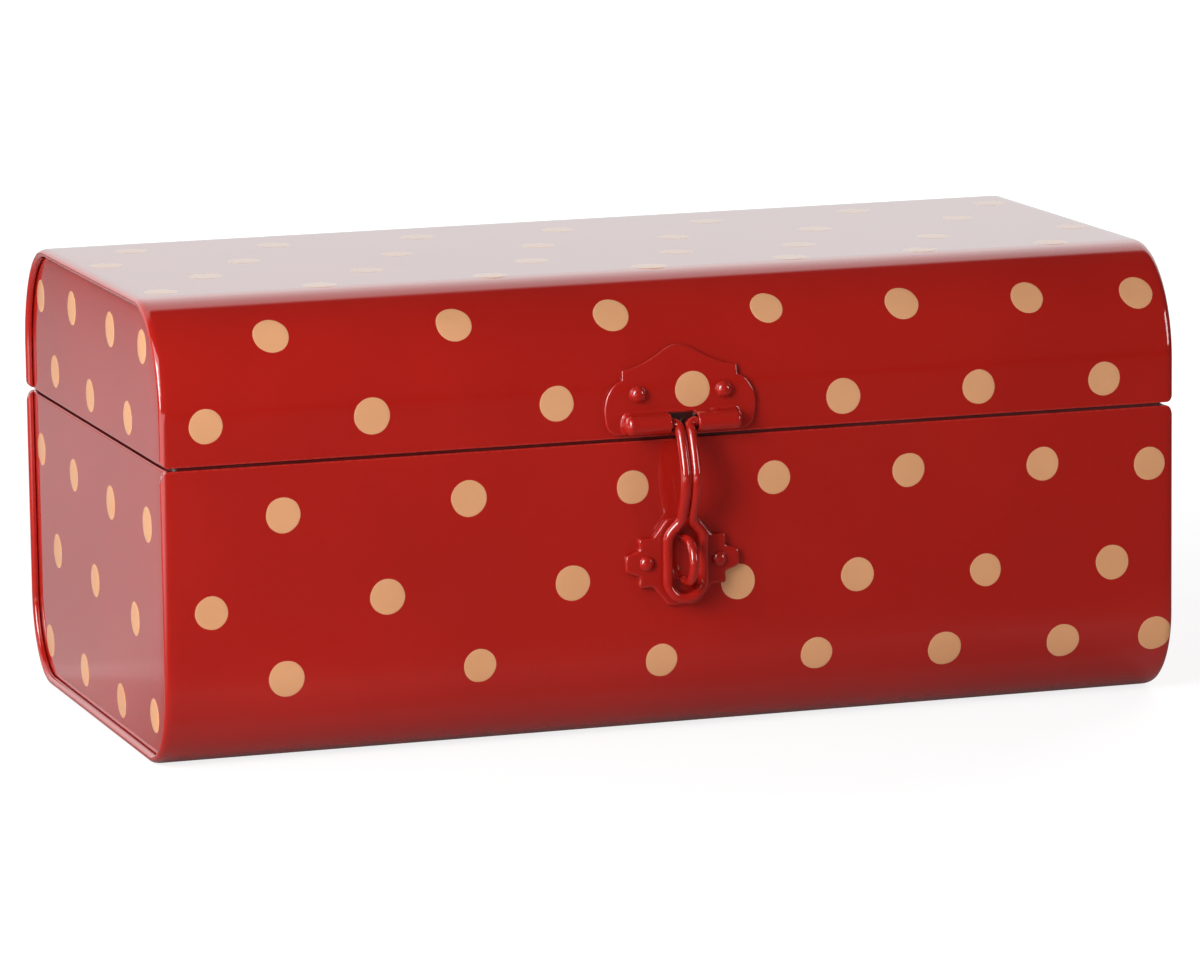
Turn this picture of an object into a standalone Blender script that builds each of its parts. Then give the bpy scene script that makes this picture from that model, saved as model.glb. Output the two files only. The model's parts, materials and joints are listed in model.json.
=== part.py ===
"""Enamelled tin storage suitcase: a hemmed sheet body and lid, two rear butt hinges and a wire hasp.

Metres. X runs along the case, -Y is its front and +Z is up. The origin is the middle of the underside.
"""
import math

import bmesh
import bpy
from mathutils import Matrix, Vector

# Case, over its rims and without its fittings; each wall is upright between the seam and its round corner
CASE_LENGTH = 0.300
CASE_DEPTH = 0.157
BODY_CORNER_DEPTH = 0.0208
BODY_CORNER_HEIGHT = 0.0247
BODY_WALL_HEIGHT = 0.0608
LID_WALL_HEIGHT = 0.0128
LID_CORNER_DEPTH = 0.0257
LID_CORNER_HEIGHT = 0.0317
SEAM_GAP = 0.0009

# Sheet, the hem round each end and the dished end panel that it grips
SHEET = 0.0006
GAP = 0.0003
HEM_LEG = 0.0003
PANEL_FILLET = 0.0006
SEAM_CORNER_WIDTH = 0.0030
LID_SEAM_CORNER_HEIGHT = 0.0026
BODY_SEAM_CORNER_HEIGHT = 0.0041

# Lip inside the body's mouth, which the lid closes over
LIP_DROP = 0.0070
LIP_RISE = 0.0030
LIP_CORNER_RADIUS = 0.0020

# Rivets
RIVET_HEAD_RADIUS = 0.00245
RIVET_HEAD_HEIGHT = 0.0019
RIVET_SHANK_RADIUS = 0.0012
RIVET_TAIL_RADIUS = 0.0019
RIVET_TAIL_HEIGHT = 0.0008

# Hasp plate on the lid, with the barrel rolled from its lower edge
HASP_PLATE_THICKNESS = 0.0010
HASP_PLATE_RISE = 0.0010
HASP_PLATE_WIDTH = 0.0444
HASP_PLATE_HEIGHT = 0.0246
HASP_RIVET_SPACING = 0.0254
HASP_RIVET_HEIGHT = 0.0115
BARREL_RADIUS = 0.0029
BARREL_BORE_RADIUS = 0.0019
BARREL_LENGTH = 0.0350
BARREL_RISE = 0.0031
BARREL_END_ROUNDING = 0.0012
BARREL_NOTCH_WIDTH = 0.0080

# Wire loop that hangs in the barrel
LOOP_WIRE_RADIUS = 0.0014
LOOP_LENGTH = 0.0500
LOOP_BOW = 0.0066
LOOP_LEG_SPACING = 0.0032
LOOP_BEND_RADIUS = 0.0018
LOOP_PIN_LENGTH = 0.0105
LOOP_RING_WIDTH = 0.0105
LOOP_NECK_LENGTH = 0.0065

# Keeper plate on the body, and the staple that stands through it
KEEPER_THICKNESS = 0.0010
KEEPER_WIDTH = 0.0330
KEEPER_HEIGHT = 0.0242
KEEPER_OFFSET = 0.0008
KEEPER_RIVET_SPACING = 0.0214
STAPLE_WIRE_RADIUS = 0.00125
STAPLE_SPACING = 0.0121
STAPLE_LOOP_CLEARANCE = 0.0024
STAPLE_REACH = 0.0127
STAPLE_BEND_RADIUS = 0.0015
STAPLE_TAIL = 0.0040

# Rear hinges
HINGE_SPACING = 0.170
HINGE_WIDTH = 0.030
HINGE_LEAF_HEIGHT = 0.0165
HINGE_LEAF_THICKNESS = 0.0010
HINGE_LEAF_ROUNDING = 0.0030
KNUCKLE_RADIUS = 0.0024
KNUCKLE_LENGTH = 0.0096
HINGE_PIN_RADIUS = 0.0011
HINGE_PIN_HEAD_RADIUS = 0.0019
HINGE_PIN_HEAD_LENGTH = 0.0010
HINGE_RIVET_SPACING = 0.0180
HINGE_RIVET_DROP = 0.0110

# Fineness of the round stretches
CORNER_STEPS = 10
HEM_STEPS = 4
FILLET_STEPS = 3
TURN_STEPS = 14
DOME_STEPS = 3
OUTLINE_STEPS = 5
OGEE_STEPS = 3
WIRE_SIDES = 2
SHARP_EDGE_ANGLE = math.radians(35)
BARREL_BEVEL_ANGLE = math.radians(60)
CUTTER_OVERRUN = 0.0060
MERGE = 0.00001

# Outline of the keeper plate's upper right quarter, as shares of half its width and half its height
KEEPER_OUTLINE_SHARES = ((1.0, 0.17), (0.745, 0.29), (0.765, 0.56), (0.52, 0.545), (0.26, 1.0))

# Right half of the hasp plate's outline, as shares of half its width and of its height, from the foot to the
# crown, and which of these points are sharp corners
HASP_OUTLINE_SHARES = (
    (0.86, 0.0),
    (0.965, 0.075),
    (1.0, 0.20),
    (1.0, 0.375),
    (0.93, 0.52),
    (0.85, 0.598),
    (0.77, 0.63),
    (0.765, 0.745),
    (0.61, 0.77),
    (0.42, 0.835),
    (0.257, 0.915),
    (0.13, 0.978),
)
HASP_SHARP_POINTS = (0, 6, 7)

# The loop seen from the side: shares of its length below the barrel's axis and of its bow in front of it
LOOP_SIDE_SHARES = (
    (0.0, 0.0),
    (0.05, 0.35),
    (0.15, 0.70),
    (0.25, 0.95),
    (0.32, 1.0),
    (0.40, 0.86),
    (0.49, 0.58),
    (0.56, 0.34),
    (0.66, 0.18),
    (0.78, 0.12),
    (0.90, 0.12),
    (1.0, 0.16),
)

# Where the loop's legs have their points, as shares of the drop from the barrel's axis to the neck
LOOP_LEG_SHARES = (0.11, 0.21, 0.30, 0.40, 0.49, 0.58, 0.68, 0.78, 0.89)

# Worked out from the sizes above
FACE = CASE_DEPTH / 2
END = CASE_LENGTH / 2
SEAM_HEIGHT = BODY_CORNER_HEIGHT + BODY_WALL_HEIGHT
CASE_HEIGHT = SEAM_HEIGHT + LID_WALL_HEIGHT + LID_CORNER_HEIGHT
BODY_EDGE = SEAM_HEIGHT - SEAM_GAP / 2
LID_EDGE = SEAM_HEIGHT + SEAM_GAP / 2
RIM_THICKNESS = 3 * SHEET + 2 * GAP
RIM_RADIUS = RIM_THICKNESS / 2
RIM_CENTRE = END - RIM_RADIUS
PANEL_BEND_CENTRE = RIM_CENTRE - HEM_LEG
PANEL_FACE = PANEL_BEND_CENTRE - PANEL_FILLET
HASP_PLATE_FOOT = LID_EDGE + HASP_PLATE_RISE
BARREL_HEIGHT = HASP_PLATE_FOOT + BARREL_RISE
BARREL_STANDING = GAP + BARREL_RADIUS
LOOP_HOLE_FOOT = BARREL_HEIGHT - LOOP_LENGTH + LOOP_WIRE_RADIUS
LOOP_SHOULDER = LOOP_HOLE_FOOT + STAPLE_LOOP_CLEARANCE + STAPLE_WIRE_RADIUS + STAPLE_SPACING
LOOP_SHOULDER_DROP = BARREL_HEIGHT - LOOP_SHOULDER
LOOP_NECK_DROP = LOOP_SHOULDER_DROP - LOOP_NECK_LENGTH
STAPLE_CENTRE_HEIGHT = LOOP_HOLE_FOOT + STAPLE_LOOP_CLEARANCE + STAPLE_WIRE_RADIUS + STAPLE_SPACING / 2
KEEPER_CENTRE_HEIGHT = STAPLE_CENTRE_HEIGHT - KEEPER_OFFSET
HINGE_STANDING = GAP + KNUCKLE_RADIUS
RIVET_HOLE_RADIUS = RIVET_SHANK_RADIUS + GAP

ENAMEL_RED = (0.42, 0.012, 0.010, 1.0)
ENAMEL_ROUGHNESS = 0.12


def clear_scene():
    """Removes what the scene holds, so that the case stands alone."""
    for thing in list(bpy.data.objects):
        bpy.data.objects.remove(thing, do_unlink=True)


def make_collection(name):
    """A collection of that name in the scene."""
    group = bpy.data.collections.new(name)
    bpy.context.scene.collection.children.link(group)
    return group


def enamel(name):
    """Glossy red enamel for one piece."""
    material = bpy.data.materials.new(name + "_enamel")
    material.use_nodes = True
    shader = material.node_tree.nodes["Principled BSDF"]
    shader.inputs["Base Color"].default_value = ENAMEL_RED
    shader.inputs["Roughness"].default_value = ENAMEL_ROUGHNESS
    material.diffuse_color = ENAMEL_RED
    return material


def new_object(name, data, group):
    """An object of that data in the group, with its own finish when it is a part."""
    thing = bpy.data.objects.new(name, data)
    group.objects.link(thing)
    if group is parts:
        thing.data.materials.append(enamel(name))
    return thing


def as_cutter(thing):
    """Marks an object as one that only cuts or joins others."""
    thing.hide_render = True
    thing.display_type = "WIRE"
    return thing


def finished(mesh):
    """Shades a mesh smooth across its rounded stretches."""
    mesh.shade_smooth()
    mesh.set_sharp_from_angle(angle=SHARP_EDGE_ANGLE)
    return mesh


def as_mesh(thing, group):
    """A curve object as a mesh object of the same name and place."""
    bpy.context.view_layer.update()
    evaluated = thing.evaluated_get(bpy.context.evaluated_depsgraph_get())
    mesh = bpy.data.meshes.new_from_object(evaluated)
    place = thing.matrix_world.copy()
    name = thing.name
    bpy.data.objects.remove(thing, do_unlink=True)
    sheet = bmesh.new()
    sheet.from_mesh(mesh)
    bmesh.ops.remove_doubles(sheet, verts=sheet.verts, dist=MERGE)
    bmesh.ops.recalc_face_normals(sheet, faces=sheet.faces)
    sheet.to_mesh(mesh)
    sheet.free()
    mesh.materials.clear()
    made = new_object(name, finished(mesh), group)
    made.matrix_world = place
    return made


def boolean(host, tool, operation):
    """Cuts, joins or intersects the host with the tool."""
    step = host.modifiers.new(tool.name, "BOOLEAN")
    step.operation = operation
    step.solver = "EXACT"
    step.object = tool


def solidify(thing, thickness):
    """Gives an open sheet its thickness, half to each side."""
    wall = thing.modifiers.new("thickness", "SOLIDIFY")
    wall.thickness = thickness
    wall.offset = 0
    wall.use_even_offset = True


def box(name, low, high, group):
    """A box between two corners."""
    mesh = bpy.data.meshes.new(name)
    block = bmesh.new()
    bmesh.ops.create_cube(block, size=1)
    size = Vector(high) - Vector(low)
    middle = (Vector(high) + Vector(low)) / 2
    bmesh.ops.scale(block, vec=size, verts=block.verts)
    bmesh.ops.translate(block, vec=middle, verts=block.verts)
    block.to_mesh(mesh)
    block.free()
    return new_object(name, mesh, group)


def cylinder(name, start, finish, radius, group):
    """A cylinder between two points."""
    mesh = bpy.data.meshes.new(name)
    rod = bmesh.new()
    run = Vector(finish) - Vector(start)
    turn = run.to_track_quat("Z", "Y").to_matrix().to_4x4()
    place = Matrix.Translation((Vector(start) + Vector(finish)) / 2) @ turn
    bmesh.ops.create_cone(rod, cap_ends=True, segments=TURN_STEPS, radius1=radius, radius2=radius,
                          depth=run.length, matrix=place)
    rod.to_mesh(mesh)
    rod.free()
    return new_object(name, finished(mesh), group)


def turned(name, profile, group):
    """A turned solid round its own Z axis, from (radius, height) points that run from top to bottom."""
    mesh = bpy.data.meshes.new(name)
    line = bmesh.new()
    points = [line.verts.new((radius, 0, height)) for radius, height in profile]
    for upper, lower in zip(points, points[1:]):
        line.edges.new((upper, lower))
    line.to_mesh(mesh)
    line.free()
    thing = new_object(name, mesh, group)
    screw = thing.modifiers.new("turn", "SCREW")
    screw.axis = "Z"
    screw.steps = TURN_STEPS
    screw.render_steps = TURN_STEPS
    screw.use_merge_vertices = True
    screw.merge_threshold = MERGE
    screw.use_smooth_shade = True
    return thing


def outlined(name, spline_points, thickness, group):
    """A flat piece in the XZ plane, centred on y = 0, from (x, z, smooth) points of its outline."""
    curve = bpy.data.curves.new(name, "CURVE")
    curve.dimensions = "2D"
    curve.fill_mode = "BOTH"
    curve.extrude = thickness / 2
    curve.resolution_u = OGEE_STEPS
    spline = curve.splines.new("BEZIER")
    spline.bezier_points.add(len(spline_points) - 1)
    spline.use_cyclic_u = True
    for point, (x, z, smooth) in zip(spline.bezier_points, spline_points):
        point.co = (x, z, 0)
        point.handle_left_type = "AUTO" if smooth else "VECTOR"
        point.handle_right_type = "AUTO" if smooth else "VECTOR"
    thing = bpy.data.objects.new(name, curve)
    cutters.objects.link(thing)
    thing.rotation_euler = (math.radians(90), 0, 0)
    return as_mesh(thing, group)


def wire(name, points, radius, group):
    """A round wire along the points."""
    curve = bpy.data.curves.new(name, "CURVE")
    curve.dimensions = "3D"
    curve.bevel_depth = radius
    curve.bevel_resolution = WIRE_SIDES
    curve.use_fill_caps = True
    spline = curve.splines.new("POLY")
    spline.points.add(len(points) - 1)
    for knot, place in zip(spline.points, points):
        knot.co = (*place, 1)
    return new_object(name, curve, group)


def wrap_route(edge, end, corner_depth, corner_height):
    """Outer points and inward normals, in y and z, from the front's seam edge round to the back's.

    edge is the height of the seam edge, and end the height of the flat face that closes the sheet.
    """
    rise = math.copysign(1, end - edge)
    front = [(Vector((-FACE, edge)), Vector((1, 0)))]
    centre = Vector((-FACE + corner_depth, end - rise * corner_height))
    for step in range(CORNER_STEPS + 1):
        turn = math.radians(90) * step / CORNER_STEPS
        out = Vector((-corner_depth * math.cos(turn), rise * corner_height * math.sin(turn)))
        inward = -Vector((out.x / corner_depth ** 2, out.y / corner_height ** 2)).normalized()
        front.append((centre + out, inward))
    back = [(Vector((-point.x, point.y)), Vector((-inward.x, inward.y))) for point, inward in reversed(front)]
    return front + back


def body_route():
    """The body's sheet: down the front, under the case and up the back."""
    return wrap_route(BODY_EDGE, 0, BODY_CORNER_DEPTH, BODY_CORNER_HEIGHT)


def lid_route():
    """The lid's sheet: up the front, over the top and down the back."""
    return wrap_route(LID_EDGE, CASE_HEIGHT, LID_CORNER_DEPTH, LID_CORNER_HEIGHT)


def swept_sheet(name, section, route, group, filled=False):
    """An open sheet: the section, in x and depth below the outer face, carried along the route.

    filled closes the sheet inside the section's last point with one flat face.
    """
    mesh = bpy.data.meshes.new(name)
    sheet = bmesh.new()
    bmesh.ops.create_grid(sheet, x_segments=len(section) - 1, y_segments=len(route) - 1, size=1)
    sheet.verts.ensure_lookup_table()
    for row, (point, inward) in enumerate(route):
        for column, (x, depth) in enumerate(section):
            vertex = sheet.verts[row * len(section) + column]
            vertex.co = (x, point.x + depth * inward.x, point.y + depth * inward.y)
    if filled:
        sheet.faces.new([sheet.verts[row * len(section) + len(section) - 1] for row in range(len(route))])
    bmesh.ops.recalc_face_normals(sheet, faces=sheet.faces)
    sheet.to_mesh(mesh)
    sheet.free()
    return new_object(name, finished(mesh), group)


def hem_section():
    """Middle of the sheet from end to end, turned back at both ends to grip the panels' flanges."""
    middle = RIM_RADIUS - SHEET / 2
    right = []
    for step in range(HEM_STEPS + 1):
        turn = math.radians(180) * step / HEM_STEPS
        right.append((RIM_CENTRE + middle * math.sin(turn), RIM_RADIUS - middle * math.cos(turn)))
    right.append((RIM_CENTRE - HEM_LEG, RIM_RADIUS + middle))
    return [(-x, depth) for x, depth in reversed(right)] + right


def panel_section(side):
    """Middle of an end panel's sheet, from its flange's tip in the hem to the edge of its flat."""
    middle = PANEL_FILLET + SHEET / 2
    section = [(side * RIM_CENTRE, RIM_RADIUS)]
    for step in range(FILLET_STEPS + 1):
        turn = math.radians(90) * step / FILLET_STEPS
        x = PANEL_BEND_CENTRE - middle * math.sin(turn)
        section.append((side * x, RIM_RADIUS + middle - middle * math.cos(turn)))
    return section


def seam_corner_cutters(name, edge, toward, height):
    """Prisms that round the rims' corners off beside the seam, one at each end of each side."""
    outline = [(END - SEAM_CORNER_WIDTH, edge)]
    for step in range(1, CORNER_STEPS + 1):
        turn = math.radians(90) * step / CORNER_STEPS
        x = END - SEAM_CORNER_WIDTH + SEAM_CORNER_WIDTH * math.sin(turn)
        outline.append((x, edge + toward * height * (1 - math.cos(turn))))
    outline.append((END + CUTTER_OVERRUN, edge + toward * height))
    outline.append((END + CUTTER_OVERRUN, edge - toward * CUTTER_OVERRUN))
    outline.append((END - SEAM_CORNER_WIDTH, edge - toward * CUTTER_OVERRUN))
    reach = RIM_THICKNESS + GAP / 2 + CUTTER_OVERRUN
    made = []
    for end_name, side in (("left", -1), ("right", 1)):
        for face_name, face in (("front", -1), ("back", 1)):
            points = [(side * x, z, False) for x, z in outline]
            tool = outlined("%s_%s_%s_corner" % (name, end_name, face_name), points, reach, cutters)
            tool.location.y = face * (FACE + CUTTER_OVERRUN - reach / 2)
            made.append(as_cutter(tool))
    return made


def make_wrap(name, route, corners):
    """The sheet that makes the front, the back and the top or the underside, hemmed at both ends."""
    wrap = swept_sheet(name, hem_section(), route, parts)
    solidify(wrap, SHEET)
    for corner in corners:
        boolean(wrap, corner, "DIFFERENCE")
    return wrap


def make_end_panels(name, route, corners):
    """The two dished end panels, whose flanges stand in the wrap's hems."""
    panels = []
    for end_name, side in (("left", -1), ("right", 1)):
        panel = swept_sheet("%s_end_%s" % (name, end_name), panel_section(side), route, parts, True)
        solidify(panel, SHEET)
        for corner in corners:
            if end_name in corner.name:
                boolean(panel, corner, "DIFFERENCE")
        panels.append(panel)
    return panels


def make_mouth_lip():
    """The strip welded inside the body's mouth, which stands up into the lid and keeps it in line."""
    half_length = PANEL_FACE - SHEET - GAP - SHEET / 2
    half_depth = FACE - SHEET - GAP - SHEET / 2
    strip = bmesh.new()
    ring = []
    for quarter in range(4):
        across = (1, -1, -1, 1)[quarter] * (half_length - LIP_CORNER_RADIUS)
        along = (1, 1, -1, -1)[quarter] * (half_depth - LIP_CORNER_RADIUS)
        for step in range(FILLET_STEPS + 1):
            turn = math.radians(90) * (quarter + step / FILLET_STEPS)
            x = across + LIP_CORNER_RADIUS * math.cos(turn)
            y = along + LIP_CORNER_RADIUS * math.sin(turn)
            ring.append(strip.verts.new((x, y, SEAM_HEIGHT - LIP_DROP)))
    edges = [strip.edges.new((first, second)) for first, second in zip(ring, ring[1:] + ring[:1])]
    raised = bmesh.ops.extrude_edge_only(strip, edges=edges)["geom"]
    moved = [part for part in raised if isinstance(part, bmesh.types.BMVert)]
    bmesh.ops.translate(strip, vec=(0, 0, LIP_DROP + LIP_RISE), verts=moved)
    mesh = bpy.data.meshes.new("body_mouth_lip")
    strip.to_mesh(mesh)
    strip.free()
    lip = new_object("body_mouth_lip", finished(mesh), parts)
    solidify(lip, SHEET)
    return lip


def rivet(name, x, z, side, carried):
    """A domed rivet through a fitting of that thickness and the sheet, on the front (-1) or the back (1)."""
    under_head = GAP + carried + GAP
    profile = []
    for step in range(DOME_STEPS + 1):
        turn = math.radians(90) * step / DOME_STEPS
        profile.append((RIVET_HEAD_RADIUS * math.sin(turn), under_head + RIVET_HEAD_HEIGHT * math.cos(turn)))
    under_tail = -SHEET - GAP
    profile.append((RIVET_SHANK_RADIUS, under_head))
    profile.append((RIVET_SHANK_RADIUS, under_tail))
    profile.append((RIVET_TAIL_RADIUS, under_tail))
    profile.append((RIVET_TAIL_RADIUS, under_tail - RIVET_TAIL_HEIGHT))
    profile.append((0, under_tail - RIVET_TAIL_HEIGHT))
    thing = turned(name, profile, parts)
    thing.location = (x, side * FACE, z)
    thing.rotation_euler = (-side * math.radians(90), 0, 0)
    return thing


def rivet_hole(name, x, z, side, *hosts):
    """A hole for a rivet's shank through each host."""
    start = (x, side * (FACE - CUTTER_OVERRUN), z)
    finish = (x, side * (FACE + CUTTER_OVERRUN), z)
    tool = as_cutter(cylinder(name, start, finish, RIVET_HOLE_RADIUS, cutters))
    for host in hosts:
        boolean(host, tool, "DIFFERENCE")


def hasp_outline():
    """The hasp plate's outline: rounded side lobes, square shoulders and a swept crown."""
    right = []
    for index, (across, up) in enumerate(HASP_OUTLINE_SHARES):
        smooth = index not in HASP_SHARP_POINTS
        right.append((across * HASP_PLATE_WIDTH / 2, HASP_PLATE_FOOT + up * HASP_PLATE_HEIGHT, smooth))
    crown = [(0, HASP_PLATE_FOOT + HASP_PLATE_HEIGHT, True)]
    left = [(-x, z, smooth) for x, z, smooth in reversed(right)]
    return right + crown + left


def make_hasp_plate():
    """The plate that follows the lid's curve, with the notched barrel that holds the loop's pins."""
    centre = -GAP - HASP_PLATE_THICKNESS / 2
    reach = HASP_PLATE_WIDTH / 2 + CUTTER_OVERRUN
    front = lid_route()[:CORNER_STEPS]
    plate = swept_sheet("hasp_plate", [(-reach, centre), (reach, centre)], front, parts)
    solidify(plate, HASP_PLATE_THICKNESS)
    stamp = outlined("hasp_outline", hasp_outline(), 4 * CUTTER_OVERRUN, cutters)
    stamp.location.y = -FACE
    boolean(plate, as_cutter(stamp), "INTERSECT")

    y = -FACE - BARREL_STANDING
    half = BARREL_LENGTH / 2
    barrel = cylinder("hasp_barrel", (-half, y, BARREL_HEIGHT), (half, y, BARREL_HEIGHT), BARREL_RADIUS, cutters)
    rounding = barrel.modifiers.new("rounded_ends", "BEVEL")
    rounding.width = BARREL_END_ROUNDING
    rounding.segments = FILLET_STEPS - 1
    rounding.limit_method = "ANGLE"
    rounding.angle_limit = BARREL_BEVEL_ANGLE
    boolean(plate, as_cutter(barrel), "UNION")

    bore_half = BARREL_NOTCH_WIDTH / 2 + LOOP_PIN_LENGTH
    start = (-bore_half, y, BARREL_HEIGHT)
    finish = (bore_half, y, BARREL_HEIGHT)
    boolean(plate, as_cutter(cylinder("hasp_bore", start, finish, BARREL_BORE_RADIUS, cutters)), "DIFFERENCE")

    low = (-BARREL_NOTCH_WIDTH / 2, y - CUTTER_OVERRUN, HASP_PLATE_FOOT - CUTTER_OVERRUN)
    high = (BARREL_NOTCH_WIDTH / 2, -FACE, BARREL_HEIGHT + BARREL_RADIUS)
    boolean(plate, as_cutter(box("hasp_notch", low, high, cutters)), "DIFFERENCE")
    return plate


def between(points, place):
    """Smooth value at a place along (place, value) points, by a cubic through four neighbours."""
    last = len(points) - 2
    index = max(i for i in range(last + 1) if points[i][0] <= place or i == 0)
    (start, first), (finish, second) = points[index], points[index + 1]
    before = points[max(index - 1, 0)]
    after = points[min(index + 2, last + 1)]
    step = finish - start
    share = (place - start) / step
    slope_in = (second - before[1]) / (finish - before[0]) * step
    slope_out = (after[1] - first) / (after[0] - start) * step
    value = first + share * slope_in
    value += share ** 2 * (3 * (second - first) - 2 * slope_in - slope_out)
    value += share ** 3 * (slope_in + slope_out - 2 * (second - first))
    return value


def loop_half():
    """Right half of the loop's middle line, from its pin's end to the ring's foot."""
    leg = LOOP_LEG_SPACING / 2
    ring = LOOP_RING_WIDTH / 2
    first = Vector((LOOP_SIDE_SHARES[1][1] * LOOP_BOW, LOOP_SIDE_SHARES[1][0] * LOOP_LENGTH)).normalized()
    pin_end = BARREL_NOTCH_WIDTH / 2 + LOOP_PIN_LENGTH - GAP
    points = [(pin_end, 0, 0)]
    for step in range(FILLET_STEPS + 2):
        turn = math.radians(90) * step / (FILLET_STEPS + 1)
        away = LOOP_BEND_RADIUS * (1 - math.cos(turn))
        points.append((leg + LOOP_BEND_RADIUS * (1 - math.sin(turn)), away * first.x, away * first.y))

    stretch = [(leg, share * LOOP_NECK_DROP) for share in LOOP_LEG_SHARES]
    for step in range(OUTLINE_STEPS + 1):
        share = step / OUTLINE_STEPS
        x = leg + (ring - leg) * (1 - math.cos(math.pi * share)) / 2
        stretch.append((x, LOOP_NECK_DROP + share * (LOOP_SHOULDER_DROP - LOOP_NECK_DROP)))
    foot = LOOP_LENGTH - ring
    for step in range(CORNER_STEPS // 2 + 1):
        turn = math.radians(90) * step / (CORNER_STEPS // 2)
        stretch.append((ring * math.cos(turn), foot + ring * math.sin(turn)))
    for x, drop in stretch:
        points.append((x, LOOP_BOW * between(LOOP_SIDE_SHARES, drop / LOOP_LENGTH), drop))
    return points


def make_hasp_loop():
    """The bent wire: two pins that turn in the barrel, two bowed legs and the ring round the staple."""
    right = loop_half()
    left = [(-x, out, drop) for x, out, drop in reversed(right[:-1])]
    y = -FACE - BARREL_STANDING
    points = [(x, y - out, BARREL_HEIGHT - drop) for x, out, drop in right + left]
    return wire("hasp_loop", points, LOOP_WIRE_RADIUS, parts)


def make_keeper_plate():
    """The stepped plate on the body's front, with holes for the staple and its rivets."""
    half_width = KEEPER_WIDTH / 2
    half_height = KEEPER_HEIGHT / 2
    quarter = [(x * half_width, z * half_height) for x, z in KEEPER_OUTLINE_SHARES]
    upper = quarter + [(-x, z) for x, z in reversed(quarter)]
    outline = upper + [(-x, -z) for x, z in upper]
    points = [(x, KEEPER_CENTRE_HEIGHT + z, False) for x, z in outline]
    plate = outlined("keeper_plate", points, KEEPER_THICKNESS, parts)
    plate.location.y = -FACE - GAP - KEEPER_THICKNESS / 2
    return plate


def staple_half():
    """Upper half of the staple's middle line, as distances in front of the case and above its centre."""
    half = STAPLE_SPACING / 2
    bend = STAPLE_BEND_RADIUS
    tail_depth = -SHEET - GAP - STAPLE_WIRE_RADIUS
    points = [(tail_depth, half + bend + STAPLE_TAIL)]
    for step in range(FILLET_STEPS + 1):
        turn = math.radians(90) * step / FILLET_STEPS
        points.append((tail_depth + bend * (1 - math.cos(turn)), half + bend * (1 - math.sin(turn))))
    bow = STAPLE_REACH - STAPLE_WIRE_RADIUS - half
    for step in range(OUTLINE_STEPS + 1):
        turn = math.radians(90) * step / OUTLINE_STEPS
        points.append((bow + half * math.sin(turn), half * math.cos(turn)))
    return points


def make_staple():
    """The wire staple that stands out of the keeper plate, with its tails clinched inside the body."""
    upper = staple_half()
    lower = [(out, -rise) for out, rise in reversed(upper[:-1])]
    points = [(0, -FACE - out, STAPLE_CENTRE_HEIGHT + rise) for out, rise in upper + lower]
    return wire("keeper_staple", points, STAPLE_WIRE_RADIUS, parts)


def make_staple_holes(*hosts):
    """The two holes that the staple's legs pass through."""
    for name, side in (("lower", -1), ("upper", 1)):
        z = STAPLE_CENTRE_HEIGHT + side * STAPLE_SPACING / 2
        start = (0, -FACE - CUTTER_OVERRUN, z)
        finish = (0, -FACE + CUTTER_OVERRUN, z)
        radius = STAPLE_WIRE_RADIUS + GAP
        tool = as_cutter(cylinder("staple_%s_hole" % name, start, finish, radius, cutters))
        for host in hosts:
            boolean(host, tool, "DIFFERENCE")


def leaf_outline(x, toward):
    """A hinge leaf's outline from the hinge's axis, with its far corners rounded."""
    half = HINGE_WIDTH / 2
    far = HINGE_LEAF_HEIGHT
    near = far - HINGE_LEAF_ROUNDING
    bend = HINGE_LEAF_ROUNDING
    arc = []
    for step in range(FILLET_STEPS + 1):
        turn = math.radians(90) * step / FILLET_STEPS
        arc.append((half - bend + bend * math.cos(turn), near + bend * math.sin(turn)))
    right = [(half, 0)] + arc
    left = [(-across, rise) for across, rise in reversed(right)]
    return [(x + across, SEAM_HEIGHT + toward * rise, False) for across, rise in right + left]


def knuckle_spans(x, middle):
    """Start and finish, in x, of a leaf's knuckles: the middle one, or the two outer ones."""
    if middle:
        return [(x - KNUCKLE_LENGTH / 2, x + KNUCKLE_LENGTH / 2)]
    half = HINGE_WIDTH / 2
    inner = KNUCKLE_LENGTH / 2 + GAP
    return [(x - half, x - inner), (x + inner, x + half)]


def make_leaf(name, x, toward):
    """One leaf of a hinge: the lid's (toward 1) has the middle knuckle, the body's (-1) the outer two."""
    y = FACE + HINGE_STANDING
    leaf = outlined(name, leaf_outline(x, toward), HINGE_LEAF_THICKNESS, parts)
    leaf.location.y = FACE + GAP + HINGE_LEAF_THICKNESS / 2
    clear = KNUCKLE_RADIUS + GAP
    own = knuckle_spans(x, toward > 0)
    for index, (start, finish) in enumerate(knuckle_spans(x, toward < 0)):
        low = (min(start, x - HINGE_WIDTH / 2 - GAP) if index == 0 and toward > 0 else start - GAP)
        high = (max(finish, x + HINGE_WIDTH / 2 + GAP) if index == 1 and toward > 0 else finish + GAP)
        corners = ((low, FACE, SEAM_HEIGHT - clear), (high, y + clear, SEAM_HEIGHT + clear))
        boolean(leaf, as_cutter(box("%s_notch_%d" % (name, index), *corners, cutters)), "DIFFERENCE")
    for index, (start, finish) in enumerate(own):
        ends = ((start, y, SEAM_HEIGHT), (finish, y, SEAM_HEIGHT))
        knuckle = as_cutter(cylinder("%s_knuckle_%d" % (name, index), *ends, KNUCKLE_RADIUS, cutters))
        boolean(leaf, knuckle, "UNION")
    reach = HINGE_WIDTH / 2 + CUTTER_OVERRUN
    ends = ((x - reach, y, SEAM_HEIGHT), (x + reach, y, SEAM_HEIGHT))
    bore = as_cutter(cylinder(name + "_bore", *ends, HINGE_PIN_RADIUS + GAP, cutters))
    boolean(leaf, bore, "DIFFERENCE")
    return leaf


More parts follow.
